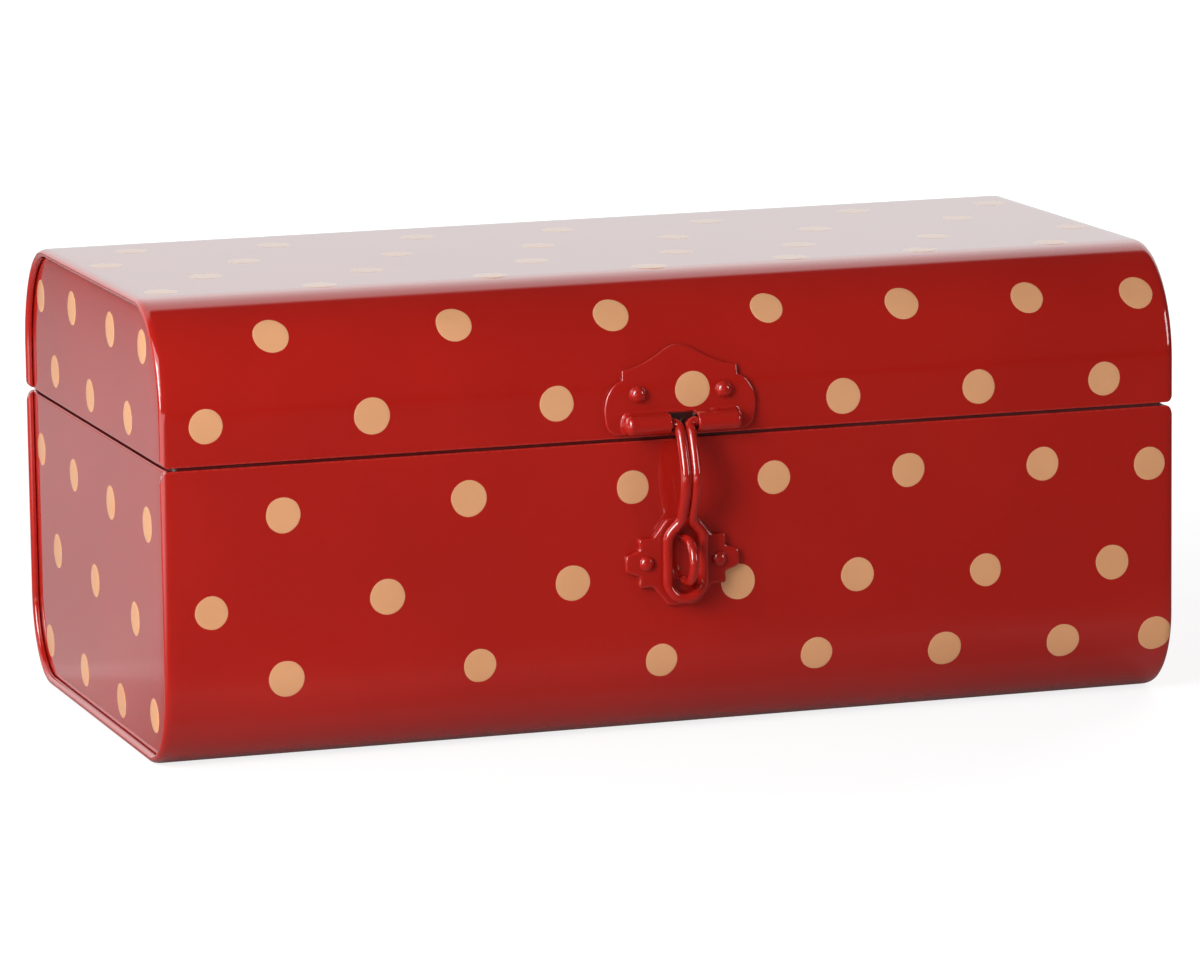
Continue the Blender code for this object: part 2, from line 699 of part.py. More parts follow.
def make_hinge_pin(name, x):
    """The pin through a hinge's knuckles, headed at both ends."""
    reach = HINGE_WIDTH / 2 + GAP
    head = HINGE_PIN_HEAD_LENGTH
    side = [
        (0, reach + head),
        (HINGE_PIN_HEAD_RADIUS * math.sin(math.radians(45)), reach + head),
        (HINGE_PIN_HEAD_RADIUS, reach + head / 2),
        (HINGE_PIN_HEAD_RADIUS, reach),
        (HINGE_PIN_RADIUS, reach),
    ]
    profile = side + [(radius, -along) for radius, along in reversed(side)]
    pin = turned(name, profile, parts)
    pin.location = (x, FACE + HINGE_STANDING, SEAM_HEIGHT)
    pin.rotation_euler = (0, math.radians(90), 0)
    return pin


def make_hinge(name, x, body_wrap, lid_wrap):
    """A butt hinge on the back, with its leaves riveted to the body and to the lid."""
    moving = []
    for piece, toward, wrap in (("body", -1, body_wrap), ("lid", 1, lid_wrap)):
        leaf = make_leaf("%s_%s_leaf" % (name, piece), x, toward)
        z = SEAM_HEIGHT + toward * HINGE_RIVET_DROP
        made = [leaf]
        for side_name, side in (("left", -1), ("right", 1)):
            place = x + side * HINGE_RIVET_SPACING / 2
            label = "%s_%s_rivet_%s" % (name, piece, side_name)
            made.append(rivet(label, place, z, 1, HINGE_LEAF_THICKNESS))
            rivet_hole(label + "_hole", place, z, 1, leaf, wrap)
        if toward > 0:
            moving = made
    make_hinge_pin(name + "_pin", x)
    return moving


def carry(name, place, pieces, parent=None):
    """An empty on a joint's axis that carries the pieces which turn about it."""
    pivot = bpy.data.objects.new(name, None)
    parts.objects.link(pivot)
    pivot.empty_display_size = KNUCKLE_LENGTH
    pivot.location = place
    pivot_world = Matrix.Translation(place)
    if parent:
        pivot.parent = parent
        pivot.matrix_parent_inverse = Matrix.Translation(parent.location).inverted()
    for piece in pieces:
        piece.parent = pivot
        piece.matrix_parent_inverse = pivot_world.inverted()
    return pivot


def make_case():
    """The whole suitcase, closed and latched."""
    body_corners = seam_corner_cutters("body", BODY_EDGE, -1, BODY_SEAM_CORNER_HEIGHT)
    lid_corners = seam_corner_cutters("lid", LID_EDGE, 1, LID_SEAM_CORNER_HEIGHT)
    body_wrap = make_wrap("body_wrap", body_route(), body_corners)
    make_end_panels("body", body_route(), body_corners)
    make_mouth_lip()
    lid_wrap = make_wrap("lid_wrap", lid_route(), lid_corners)
    moving = [lid_wrap] + make_end_panels("lid", lid_route(), lid_corners)

    keeper = make_keeper_plate()
    make_staple()
    make_staple_holes(keeper, body_wrap)
    hasp = make_hasp_plate()
    loop = make_hasp_loop()
    moving.append(hasp)
    hasp_rivet_z = HASP_PLATE_FOOT + HASP_RIVET_HEIGHT
    for side_name, side in (("left", -1), ("right", 1)):
        x = side * KEEPER_RIVET_SPACING / 2
        rivet("keeper_rivet_" + side_name, x, KEEPER_CENTRE_HEIGHT, -1, KEEPER_THICKNESS)
        rivet_hole("keeper_hole_" + side_name, x, KEEPER_CENTRE_HEIGHT, -1, keeper, body_wrap)
        x = side * HASP_RIVET_SPACING / 2
        moving.append(rivet("hasp_rivet_" + side_name, x, hasp_rivet_z, -1, HASP_PLATE_THICKNESS))
        rivet_hole("hasp_hole_" + side_name, x, hasp_rivet_z, -1, hasp, lid_wrap)
        moving += make_hinge("hinge_" + side_name, side * HINGE_SPACING / 2, body_wrap, lid_wrap)

    lid_axis = carry("lid_hinge_axis", Vector((0, FACE + HINGE_STANDING, SEAM_HEIGHT)), moving)
    carry("hasp_loop_axis", Vector((0, -FACE - BARREL_STANDING, BARREL_HEIGHT)), [loop], lid_axis)


clear_scene()
parts = make_collection("storage_suitcase")
cutters = make_collection("cutters")
make_case()
bpy.context.view_layer.update()
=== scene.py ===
"""Looks of the enamelled tin storage suitcase: hemmed sheets, wire hasp, hinges, polka dots and finishes."""
import json
import math

import bmesh
import bpy
from mathutils import Matrix, Vector


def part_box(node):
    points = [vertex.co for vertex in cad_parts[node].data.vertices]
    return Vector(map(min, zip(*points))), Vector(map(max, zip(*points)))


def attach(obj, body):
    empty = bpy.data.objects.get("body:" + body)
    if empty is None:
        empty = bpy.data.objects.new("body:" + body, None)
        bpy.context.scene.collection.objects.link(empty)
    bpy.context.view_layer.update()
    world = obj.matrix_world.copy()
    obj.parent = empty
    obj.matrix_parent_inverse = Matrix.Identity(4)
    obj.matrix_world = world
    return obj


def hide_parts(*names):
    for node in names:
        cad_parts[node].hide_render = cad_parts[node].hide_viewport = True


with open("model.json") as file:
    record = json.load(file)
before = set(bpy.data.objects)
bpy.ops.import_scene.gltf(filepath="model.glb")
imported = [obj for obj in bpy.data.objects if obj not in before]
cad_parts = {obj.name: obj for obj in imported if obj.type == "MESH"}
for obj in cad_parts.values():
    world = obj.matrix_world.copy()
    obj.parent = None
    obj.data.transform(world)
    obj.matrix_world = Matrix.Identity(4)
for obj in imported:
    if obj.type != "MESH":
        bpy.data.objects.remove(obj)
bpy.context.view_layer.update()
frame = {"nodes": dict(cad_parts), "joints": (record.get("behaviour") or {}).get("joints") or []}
record_joints = {joint["name"]: joint for joint in frame["joints"]}
LID_AXIS = Vector(record_joints["lid_hinge"]["pos_m"])
LOOP_AXIS = Vector(record_joints["hasp_swing"]["pos_m"])

# Sheet, hem and end panel, as the frame has them but for rounded edges and narrower corners beside the seam
SHEET = 0.0006
GAP = 0.0003
HEM_LEG = 0.0003
PANEL_FILLET = 0.0006
RIM_THICKNESS = 3 * SHEET + 2 * GAP
RIM_RADIUS = RIM_THICKNESS / 2
SEAM_CORNER_WIDTH = 0.0023
EDGE_ROUNDING = 0.0001
LID_SEAM_CORNER_HEIGHT = 0.0026
BODY_SEAM_CORNER_HEIGHT = 0.0041

# Places read from the frame
BODY_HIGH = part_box("body_wrap")[1]
LID_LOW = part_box("lid_wrap")[0]
LID_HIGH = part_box("lid_wrap")[1]
FACE = BODY_HIGH.y
BODY_EDGE = BODY_HIGH.z
LID_EDGE = LID_LOW.z
CASE_HEIGHT = LID_HIGH.z
RIM_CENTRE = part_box("body_end_right")[1].x
END = RIM_CENTRE + RIM_RADIUS
PANEL_BEND_CENTRE = RIM_CENTRE - HEM_LEG
PANEL_FACE = PANEL_BEND_CENTRE - PANEL_FILLET
PANEL_DEPTH = RIM_RADIUS + PANEL_FILLET + SHEET / 2
DOT_RADIUS = 0.0051

# Swell of the end panels with its shoulders' widths, outer sweep of the hems, and corners of the mouth's lip
PANEL_CROWN = 0.0006
CROWN_SIDE = 0.010
CROWN_TOP = 0.018
HEM_SWEEP = 0.0022
LIP_CORNER_RADIUS = 0.0020

# Round corners of the body and of the lid
BODY_CORNER = (0.0208, 0.0247)
LID_CORNER = (0.0257, 0.0317)

# Fineness of the round stretches
WALL_STEPS = 4
CORNER_STEPS = 40
FLAT_STEPS = 60
EDGE_STEPS = 3
HEM_STEPS = 14
ARC_STEPS = 8
BEND_STEPS = 4
ROUND_STEPS = 40
ACROSS_SHARES = (1.0, 0.985, 0.95, 0.8, 0.5, 0.2, 0.0)

# Fittings
RIVET_HEAD_RADIUS = 0.00245
RIVET_HEAD_HEIGHT = 0.0019
RIVET_COLLAR = 0.00035
RIVET_SHANK_RADIUS = 0.0012
RIVET_TAIL_RADIUS = 0.0019
RIVET_TAIL_HEIGHT = 0.0008
PLATE_THICKNESS = 0.0010
PLATE_ROUNDING = 0.00032
PLATE_FACE = -FACE - GAP - PLATE_THICKNESS
FITTING_GRAIN = 0.0002
DOT_THICKNESS = 0.00005

# Distance at which points of a mesh merge, and how sharp a bend wears the paint first and most, per metre
MERGE = 0.000002
SOFT_BEND = 500.0
SHARP_BEND = 3000.0

# Enamel and paint, as linear colours
RED = (0.43, 0.0125, 0.0075, 1.0)
DEEP_RED = (0.38, 0.0105, 0.0065, 1.0)
WORN_RED = (0.60, 0.05, 0.04, 1.0)
# Dark enamel for the mouth's lip: painted shade, standing in for the shadow seen through the seam's gap
SHADED_LIP_RED = (0.10, 0.004, 0.003, 1.0)
DEEP_SHADED_LIP_RED = (0.08, 0.003, 0.003, 1.0)
# Near-black painted shade for the hasp barrel's bore and the face behind its notch
RECESS_SHADE_RED = (0.03, 0.002, 0.002, 1.0)
TAN = (0.71, 0.355, 0.18, 1.0)
DEEP_TAN = (0.66, 0.325, 0.16, 1.0)
THIN_TAN = (0.86, 0.62, 0.42, 1.0)
WHITE = (1.0, 1.0, 1.0, 1.0)

# How edge-on the dots' paint is seen where it starts to shine and where it shines in full
DOT_SHINE = (0.72, 0.84)


def put(tree, kind, inputs=None, **settings):
    """Adds a node to a tree, with its settings, and links or sets its inputs."""
    made = tree.nodes.new(kind)
    for label, value in settings.items():
        setattr(made, label, value)
    for label, value in (inputs or {}).items():
        if isinstance(value, bpy.types.NodeSocket):
            tree.links.new(value, made.inputs[label])
        else:
            made.inputs[label].default_value = value
    return made


def maths(tree, operation, first, second=0.0, *more):
    """Output of a Math node, or of a chain of them that takes in one more value at each."""
    made = put(tree, "ShaderNodeMath", {0: first, 1: second}, operation=operation).outputs[0]
    return maths(tree, operation, made, *more) if more else made


def mapped(tree, value, start, finish, low=0.0, high=1.0):
    """A value carried smoothly from one range to another and kept inside it."""
    inputs = {"Value": value, "From Min": start, "From Max": finish, "To Min": low, "To Max": high}
    return put(tree, "ShaderNodeMapRange", inputs, interpolation_type="SMOOTHSTEP").outputs[0]


def blended(tree, share, first, second):
    """Colour between two colours."""
    return put(tree, "ShaderNodeMix", {0: share, 6: first, 7: second}, data_type="RGBA").outputs[2]


def new_group(kind, name, inputs, outputs):
    """A node group with named sockets, (label, type, default) in and (label, type) out, and its two ends."""
    tree = bpy.data.node_groups.new(name, kind)
    for label, socket, default in inputs:
        made = tree.interface.new_socket(label, in_out="INPUT", socket_type=socket)
        if default is not None:
            made.default_value = default
    for label, socket in outputs:
        tree.interface.new_socket(label, in_out="OUTPUT", socket_type=socket)
    return tree, put(tree, "NodeGroupInput").outputs, put(tree, "NodeGroupOutput").inputs


def make_enamel_group():
    """Stoved enamel: cloudy tone, orange peel, fine dust, handling smears, thin paint along the edges and
    painted shade where a recess is marked.
    """
    tree, source, result = new_group(
        "ShaderNodeTree",
        "stoved_enamel",
        (
            ("Colour", "NodeSocketColor", RED),
            ("Deep colour", "NodeSocketColor", DEEP_RED),
            ("Thin colour", "NodeSocketColor", WORN_RED),
            ("Gloss roughness", "NodeSocketFloat", 0.1),
            ("Smear", "NodeSocketFloat", 0.05),
            ("Edge wear", "NodeSocketFloat", 0.5),
            ("Cloud scale", "NodeSocketFloat", 14.0),
            ("Peel scale", "NodeSocketFloat", 420.0),
        ),
        (("Color", "NodeSocketColor"), ("Roughness", "NodeSocketFloat"), ("Height", "NodeSocketFloat")),
    )
    place = put(tree, "ShaderNodeTexCoord").outputs["Object"]

    def noise(scale, detail, **more):
        inputs = {"Vector": place, "Scale": scale, "Detail": detail, **more}
        return put(tree, "ShaderNodeTexNoise", inputs).outputs[0]

    cloud = mapped(tree, noise(source["Cloud scale"], 3.0), 0.3, 0.7, 0.0, 0.75)
    tone = maths(tree, "ADD", cloud, maths(tree, "MULTIPLY", noise(900.0, 2.0), 0.25))
    colour = blended(tree, tone, source["Colour"], source["Deep colour"])

    rub = put(tree, "ShaderNodeAttribute", attribute_name="rub").outputs["Fac"]
    broken = mapped(tree, noise(650.0, 4.0, Roughness=0.7), 0.38, 0.62)
    thin = maths(tree, "MULTIPLY", rub, broken, source["Edge wear"])
    colour = blended(tree, thin, colour, source["Thin colour"])

    motes = put(tree, "ShaderNodeTexVoronoi", {"Vector": place, "Scale": 95.0})
    mote = mapped(tree, motes.outputs["Distance"], 0.018, 0.010)
    colour = blended(tree, maths(tree, "MULTIPLY", mote, 0.35), colour, source["Thin colour"])

    # Painted shade: the marked bore and notch go near black, standing in for their shadow
    recess = put(tree, "ShaderNodeAttribute", attribute_name="recess").outputs["Fac"]
    colour = blended(tree, recess, colour, RECESS_SHADE_RED)

    smear = mapped(tree, noise(26.0, 5.0, Distortion=0.8), 0.45, 0.75)
    smeared = maths(tree, "MULTIPLY", smear, source["Smear"])
    thinned = maths(tree, "MULTIPLY", thin, 0.15)
    sunk = maths(tree, "MULTIPLY", recess, 0.4)
    rough = maths(tree, "ADD", source["Gloss roughness"], smeared, thinned, sunk)

    swell = maths(tree, "MULTIPLY", noise(60.0, 1.0), 2.0)
    raised = maths(tree, "MULTIPLY", mote, 2.5)
    height = maths(tree, "ADD", noise(source["Peel scale"], 1.0), swell, raised)
    for label, value in (("Color", colour), ("Roughness", rough), ("Height", height)):
        tree.links.new(value, result[label])
    return tree


def enamel(name, group, values, coat, peel_depth):
    """An enamel from the shared group: its own colours, gloss and depth of orange peel."""
    material = bpy.data.materials.new(name)
    material.use_nodes = True
    tree = material.node_tree
    shader = tree.nodes["Principled BSDF"]
    finish = put(tree, "ShaderNodeGroup", node_tree=group)
    for label, value in values.items():
        finish.inputs[label].default_value = value
    bump = put(tree, "ShaderNodeBump", {"Height": finish.outputs["Height"], "Distance": peel_depth})
    tree.links.new(finish.outputs["Color"], shader.inputs["Base Color"])
    tree.links.new(finish.outputs["Roughness"], shader.inputs["Roughness"])
    tree.links.new(bump.outputs["Normal"], shader.inputs["Normal"])
    shader.inputs["Coat Weight"].default_value = coat
    shader.inputs["Coat Roughness"].default_value = 0.03
    material.diffuse_color = values["Colour"]
    return material


def dot_paint(group, values):
    """The dots' duller paint, which shines only where it is seen at a low angle."""
    material = enamel("dot_paint", group, values, 0.5, 0.000010)
    tree = material.node_tree
    shader = tree.nodes["Principled BSDF"]
    shader.inputs["Coat Roughness"].default_value = 0.10
    facing = put(tree, "ShaderNodeLayerWeight").outputs["Facing"]
    for label in ("Coat Weight", "Specular IOR Level"):
        tree.links.new(mapped(tree, facing, *DOT_SHINE), shader.inputs[label])
    return material


def make_materials():
    """Every finish of the case."""
    group = make_enamel_group()
    red = {"Colour": RED, "Deep colour": DEEP_RED, "Thin colour": WORN_RED}
    shade = {"Colour": SHADED_LIP_RED, "Deep colour": DEEP_SHADED_LIP_RED, "Thin colour": DEEP_RED}
    tan = {"Colour": TAN, "Deep colour": DEEP_TAN, "Thin colour": THIN_TAN}
    return {
        "body": enamel("body_enamel", group, {**red, "Cloud scale": 13.0}, 1.0, 0.000005),
        "lid": enamel("lid_enamel", group, {**red, "Cloud scale": 15.0}, 1.0, 0.000005),
        "fittings": enamel(
            "fittings_enamel", group, {**red, "Gloss roughness": 0.08, "Edge wear": 0.35}, 1.0, 0.000003),
        # The lip's dark enamel is painted shade for the seam's gap
        "inside": enamel(
            "inside_enamel", group, {**shade, "Gloss roughness": 0.35, "Smear": 0.15}, 0.2, 0.000014),
        "dots": dot_paint(group, {**tan, "Gloss roughness": 0.28, "Smear": 0.08, "Cloud scale": 60.0}),
    }


def placed(name, data):
    """An object for a mesh, curve, lamp or camera, in the scene."""
    thing = bpy.data.objects.new(name, data)
    bpy.context.scene.collection.objects.link(thing)
    return thing


def discard(thing):
    """Takes away an object that has done its work."""
    bpy.data.objects.remove(thing, do_unlink=True)


def turns(degrees, steps):
    """Angles from zero to the one given, in even steps."""
    return [math.radians(degrees) * step / steps for step in range(steps + 1)]


def from_bmesh(name, shape, closed=True):
    """A mesh object from a bmesh, which is freed. A closed one is first merged and turned outwards."""
    if closed:
        bmesh.ops.remove_doubles(shape, verts=shape.verts, dist=MERGE)
        bmesh.ops.recalc_face_normals(shape, faces=shape.faces)
    mesh = bpy.data.meshes.new(name)
    shape.to_mesh(mesh)
    shape.free()
    return placed(name, mesh)


def to_bmesh(thing):
    """A bmesh from a mesh object, which is taken away."""
    shape = bmesh.new()
    shape.from_mesh(thing.data)
    discard(thing)
    return shape


def spun(name, points, centre, axis, steps):
    """A closed shape turned from a line of points round an axis."""
    shape = bmesh.new()
    line = [shape.verts.new(point) for point in points]
    edges = [shape.edges.new(pair) for pair in zip(line, line[1:])]
    bmesh.ops.spin(shape, geom=line + edges, cent=centre, axis=axis, angle=math.radians(360), steps=steps,
                   use_merge=True)
    return from_bmesh(name, shape)


def evaluated(thing):
    """The object with its modifiers or curve made a plain mesh, in place of the old one."""
    bpy.context.view_layer.update()
    mesh = bpy.data.meshes.new_from_object(thing.evaluated_get(bpy.context.evaluated_depsgraph_get()))
    mesh.transform(thing.matrix_world)
    name = thing.name
    discard(thing)
    mesh.name = name
    return placed(name, mesh)


def mark_edges(mesh):
    """Writes how sharply each vertex stands out, 0 on flats and 1 on tight edges, for the worn paint."""
    attribute = mesh.attributes.get("rub") or mesh.attributes.new("rub", "FLOAT", "POINT")
    bends = [0.0] * len(mesh.vertices)
    normals = [normal.vector.copy() for normal in mesh.vertex_normals]
    for edge in mesh.edges:
        first, second = edge.vertices
        run = mesh.vertices[second].co - mesh.vertices[first].co
        length = max(run.length_squared, MERGE ** 2)
        bends[first] = max(bends[first], -2 * run.dot(normals[first]) / length)
        bends[second] = max(bends[second], 2 * run.dot(normals[second]) / length)
    for vertex, bend in enumerate(bends):
        attribute.data[vertex].value = min(max((bend - SOFT_BEND) / (SHARP_BEND - SOFT_BEND), 0.0), 1.0)


def finished(thing, material, body, slot, *nodes, sharp=40):
    """Shades a piece, gives it its finish, ties it to its body and lets it stand for the CAD nodes."""
    thing.data.shade_smooth()
    thing.data.set_sharp_from_angle(angle=math.radians(sharp))
    mark_edges(thing.data)
    thing.data.materials.clear()
    thing.data.materials.append(material)
    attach(thing, body)
    if nodes:
        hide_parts(*nodes)
    return thing


def edge_stations():
    """How full the sheet is, and how far in from its edge, over the rounding of that edge."""
    return [(math.sin(turn), EDGE_ROUNDING * (1 - math.cos(turn))) for turn in turns(90, EDGE_STEPS)]


def front_stations(edge, end, corner):
    """Stations from the front's seam edge to the flat: outer point, inward normal (in y, z) and fullness."""
    depth, height = corner
    rise = math.copysign(1, end - edge)
    wall_end = end - rise * height
    stations = []
    for full, inset in edge_stations():
        stations.append((Vector((-FACE, edge + rise * inset)), Vector((1, 0)), full))
    start = stations[-1][0].y + rise * SHEET
    for step in range(0, WALL_STEPS):
        place = Vector((-FACE, start + (wall_end - start) * step / WALL_STEPS))
        stations.append((place, Vector((1, 0)), 1.0))
    centre = Vector((-FACE + depth, wall_end))
    for turn in turns(90, CORNER_STEPS):
        out = Vector((-depth * math.cos(turn), rise * height * math.sin(turn)))
        inward = -Vector((out.x / depth ** 2, out.y / height ** 2)).normalized()
        stations.append((centre + out, inward, 1.0))
    return stations


def crowded(step):
    """Place from -1 to 1 of one of the flat's steps, which crowd towards both ends."""
    return -math.cos(math.pi * step / FLAT_STEPS)


def all_stations(edge, end, corner):
    """Stations from the front's seam edge round to the back's."""
    front = front_stations(edge, end, corner)
    rise = math.copysign(1, end - edge)
    reach = FACE - corner[0]
    flat = []
    for step in range(1, FLAT_STEPS):
        flat.append((Vector((reach * crowded(step), end)), Vector((0, -rise)), 1.0))
    back = [(Vector((-p.x, p.y)), Vector((-n.x, n.y)), full) for p, n, full in reversed(front)]
    return front + flat + back


def sheet_loop(middle, half):
    """Closed section round a sheet's middle line, as (point, middle point) pairs with rounded ends."""
    count = len(middle)
    runs = []
    for index in range(count):
        run = middle[min(index + 1, count - 1)] - middle[max(index - 1, 0)]
        runs.append(run.normalized())
    sides = [Vector((-run.y, run.x)) for run in runs]

    def rounding(end, radius):
        out = [math.cos(turn) * sides[end] + math.sin(turn) * runs[end] for turn in turns(180, 4)[1:4]]
        return [(middle[end] + radius * way, middle[end]) for way in out]

    left = [(p + half * s, p) for p, s in zip(middle, sides)]
    right = [(p - half * s, p) for p, s in reversed(list(zip(middle, sides)))]
    return left + rounding(-1, half) + right + rounding(0, -half)


def quilted(shape, rows):
    """Quads between neighbouring rows of vertices."""
    for first, second in zip(rows, rows[1:]):
        for index in range(len(first) - 1):
            shape.faces.new((first[index], first[index + 1], second[index + 1], second[index]))


def skinned(shape, rings, closed=False, capped=False):
    """Quads between neighbouring rings of vertices."""
    pairs = list(zip(rings, rings[1:]))
    if closed:
        pairs.append((rings[-1], rings[0]))
    for first, second in pairs:
        for index in range(len(first)):
            after = (index + 1) % len(first)
            shape.faces.new((first[index], first[after], second[after], second[index]))
    if capped:
        shape.faces.new(rings[0])
        shape.faces.new(list(reversed(rings[-1])))


def hem_middle():
    """Middle of the wrap's sheet from hem to hem, as (x, depth)."""
    middle = RIM_RADIUS - SHEET / 2
    flat = RIM_CENTRE + middle - HEM_SWEEP
    right = [Vector((share * flat, RIM_RADIUS - middle)) for share in reversed(ACROSS_SHARES)]
    for step in range(1, HEM_STEPS + 1):
        turn = math.radians(180) * step / HEM_STEPS
        sweep = HEM_SWEEP if step < HEM_STEPS / 2 else middle
        x = RIM_CENTRE + middle - sweep + sweep * math.sin(turn)
        right.append(Vector((x, RIM_RADIUS - middle * math.cos(turn))))
    right.append(Vector((RIM_CENTRE - HEM_LEG, RIM_RADIUS + middle)))
    return [Vector((-p.x, p.y)) for p in reversed(right[1:])] + right


def corner_cutters(edge, toward, height):
    """Prisms that round the rims' corners off beside the seam, joined in one cutting object."""
    outline = []
    for turn in turns(90, CORNER_STEPS // 2):
        x = END - SEAM_CORNER_WIDTH * (1 - math.sin(turn))
        outline.append((x, edge + toward * height * (1 - math.cos(turn))))
    over = SEAM_CORNER_WIDTH
    outline += [(END + over, edge + toward * height), (END + over, edge - toward * over)]
    outline.append((END - SEAM_CORNER_WIDTH, edge - toward * over))
    shape = bmesh.new()
    for side in (-1, 1):
        for face in (-1, 1):
            near = face * (FACE - RIM_THICKNESS - GAP / 2)
            far = face * (FACE + over)
            rings = [[shape.verts.new((side * x, y, z)) for x, z in outline] for y in (near, far)]
            skinned(shape, rings, capped=True)
    return from_bmesh("seam_corner_cutters", shape)


def cut(host, tool, operation="DIFFERENCE"):
    """Cuts or joins with a tool, which stays for other hosts."""
    step = host.modifiers.new("cut", "BOOLEAN")
    step.operation = operation
    step.solver = "EXACT"
    step.object = tool
    return evaluated(host)


def make_wrap(name, stations):
    """The sheet that makes the front, the back and the top or the underside, hemmed at both ends."""
    loop = sheet_loop(hem_middle(), SHEET / 2)
    shape = bmesh.new()
    rings = []
    for point, inward, full in stations:
        ring = []
        for outer, middle in loop:
            x, depth = middle + full * (outer - middle)
            ring.append(shape.verts.new((x, point.x + depth * inward.x, point.y + depth * inward.y)))
        rings.append(ring)
    skinned(shape, rings)
    return from_bmesh(name, shape)


def panel_middle():
    """Middle of an end panel's rim, from the flange's tip to the edge of the flat, as (x, depth)."""
    middle = PANEL_FILLET + SHEET / 2
    points = [Vector((RIM_CENTRE, RIM_RADIUS))]
    for turn in turns(90, HEM_STEPS // 2):
        points.append(Vector((PANEL_BEND_CENTRE - middle * math.sin(turn),
                              RIM_RADIUS + middle - middle * math.cos(turn))))
    return points


def rounded_rise(distance, width):
    """Share of the full height that a rounded shoulder has reached at a distance from its foot."""
    left = 1 - min(max(distance / width, 0.0), 1.0)
    return math.sqrt(1 - left ** 2)


def panel_crown(y, z, edge, end):
    """How far an end panel's flat swells outwards at a place on it, from its outline inwards."""
    depth, height = LID_CORNER if end > edge else BODY_CORNER
    rise = math.copysign(1, end - edge)
    reach = FACE - depth
    up = max(rise * (z - end) + height, 0.0)
    out = max(abs(y) - reach, 0.0)
    depth -= PANEL_DEPTH
    height -= PANEL_DEPTH
    aside = reach + depth * math.sqrt(max(1 - (up / height) ** 2, 0.0)) - abs(y)
    above = height * math.sqrt(max(1 - (out / depth) ** 2, 0.0)) - rise * (z - end) - height - PANEL_DEPTH
    return PANEL_CROWN * rounded_rise(aside, CROWN_SIDE) * rounded_rise(above, CROWN_TOP)


def make_panel(name, side, stations):
    """A dished end panel: flange, fillet and a very slightly crowned flat, rounded along the seam."""
    half = SHEET / 2
    middle = panel_middle()
    loop = sheet_loop(middle, half)
    outer = loop[:len(middle)]
    tip = loop[-3:]
    inner = loop[len(middle) + 3:-3]
    rim = list(reversed(outer)) + list(reversed(tip)) + list(reversed(inner))
    shape = bmesh.new()

    def place(point, inward, full, pair):
        x, depth = pair[1] + full * (pair[0] - pair[1])
        return shape.verts.new((side * x, point.x + depth * inward.x, point.y + depth * inward.y))

    rings = [[place(point, inward, full, pair) for pair in rim] for point, inward, full in stations]
    quilted(shape, rings)

    rows = (len(stations) - FLAT_STEPS + 1) // 2
    edge = stations[0][0].y
    end = stations[rows][0].y
    for pair in (outer[-1], inner[0]):
        grid = []
        for row in range(rows):
            point, inward, full = stations[row]
            x, depth = pair[1] + full * (pair[0] - pair[1])
            start = point + depth * inward
            line = []
            for column in range(FLAT_STEPS + 1):
                across = crowded(column)
                crown = 0.0
                if 0 < column < FLAT_STEPS and row < rows - 1:
                    crown = panel_crown(across * start.x, start.y, edge, end)
                line.append(shape.verts.new((side * (x + crown), -across * start.x, start.y)))
            grid.append(line)
        quilted(shape, grid)
    return from_bmesh(name, shape)


def make_case_sheets(materials):
    """The body's and the lid's wraps and end panels."""
    plans = (
        ("body", BODY_EDGE, 0.0, BODY_CORNER, -1, BODY_SEAM_CORNER_HEIGHT),
        ("lid", LID_EDGE, CASE_HEIGHT, LID_CORNER, 1, LID_SEAM_CORNER_HEIGHT),
    )
    for name, edge, end, corner, toward, height in plans:
        stations = all_stations(edge, end, corner)
        tool = corner_cutters(edge, toward, height)
        sheets = [(make_wrap(name + "_wrap_sheet", stations), name + "_wrap")]
        for label, side in (("left", -1), ("right", 1)):
            panel = make_panel("%s_%s_panel" % (name, label), side, stations)
            sheets.append((panel, "%s_end_%s" % (name, label)))
        for sheet, node in sheets:
            piece = cut(sheet, tool)
            finished(piece, materials[name], name, name + "_enamel", node)
        discard(tool)


def make_mouth_lip(materials):
    """The strip inside the body's mouth, with rounded corners and a rounded upper edge, in a dark enamel
    that is painted shade for the seam's gap.
    """
    low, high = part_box("body_mouth_lip")
    half = SHEET / 2
    middle = [Vector((0, low.z + half)), Vector((0, (low.z + high.z) / 2)), Vector((0, high.z - half))]
    loop = [outer for outer, centre in sheet_loop(middle, half)]
    shape = bmesh.new()
    rings = []
    for quarter in range(4):
        across = (1, -1, -1, 1)[quarter] * (high.x - half - LIP_CORNER_RADIUS)
        along = (1, 1, -1, -1)[quarter] * (high.y - half - LIP_CORNER_RADIUS)
        for step in range(HEM_STEPS + 1):
            turn = math.radians(90) * (quarter + step / HEM_STEPS)
            out = Vector((math.cos(turn), math.sin(turn), 0))
            centre = Vector((across, along, 0)) + LIP_CORNER_RADIUS * out
            rings.append([shape.verts.new(centre + p.x * out + Vector((0, 0, p.y))) for p in loop])
    skinned(shape, rings, closed=True)
    strip = from_bmesh("mouth_lip_strip", shape)
    # Its dark enamel is painted shade: it stands in for the shadow seen through the seam's gap
    finished(strip, materials["inside"], "body", "body_enamel", "body_mouth_lip")


def between(points, place):
    """Smooth value at a place along (place, value) points, by a cubic through four neighbours."""
    last = len(points) - 2
    index = max(i for i in range(last + 1) if points[i][0] <= place or i == 0)
    (start, first), (finish, second) = points[index], points[index + 1]
    before = points[max(index - 1, 0)]
    after = points[min(index + 2, last + 1)]
    step = finish - start
    share = (place - start) / step
    slope_in = (second - before[1]) / (finish - before[0]) * step
    slope_out = (after[1] - first) / (after[0] - start) * step
    value = first + share * slope_in
    value += share ** 2 * (3 * (second - first) - 2 * slope_in - slope_out)
    return value + share ** 3 * (slope_in + slope_out - 2 * (second - first))


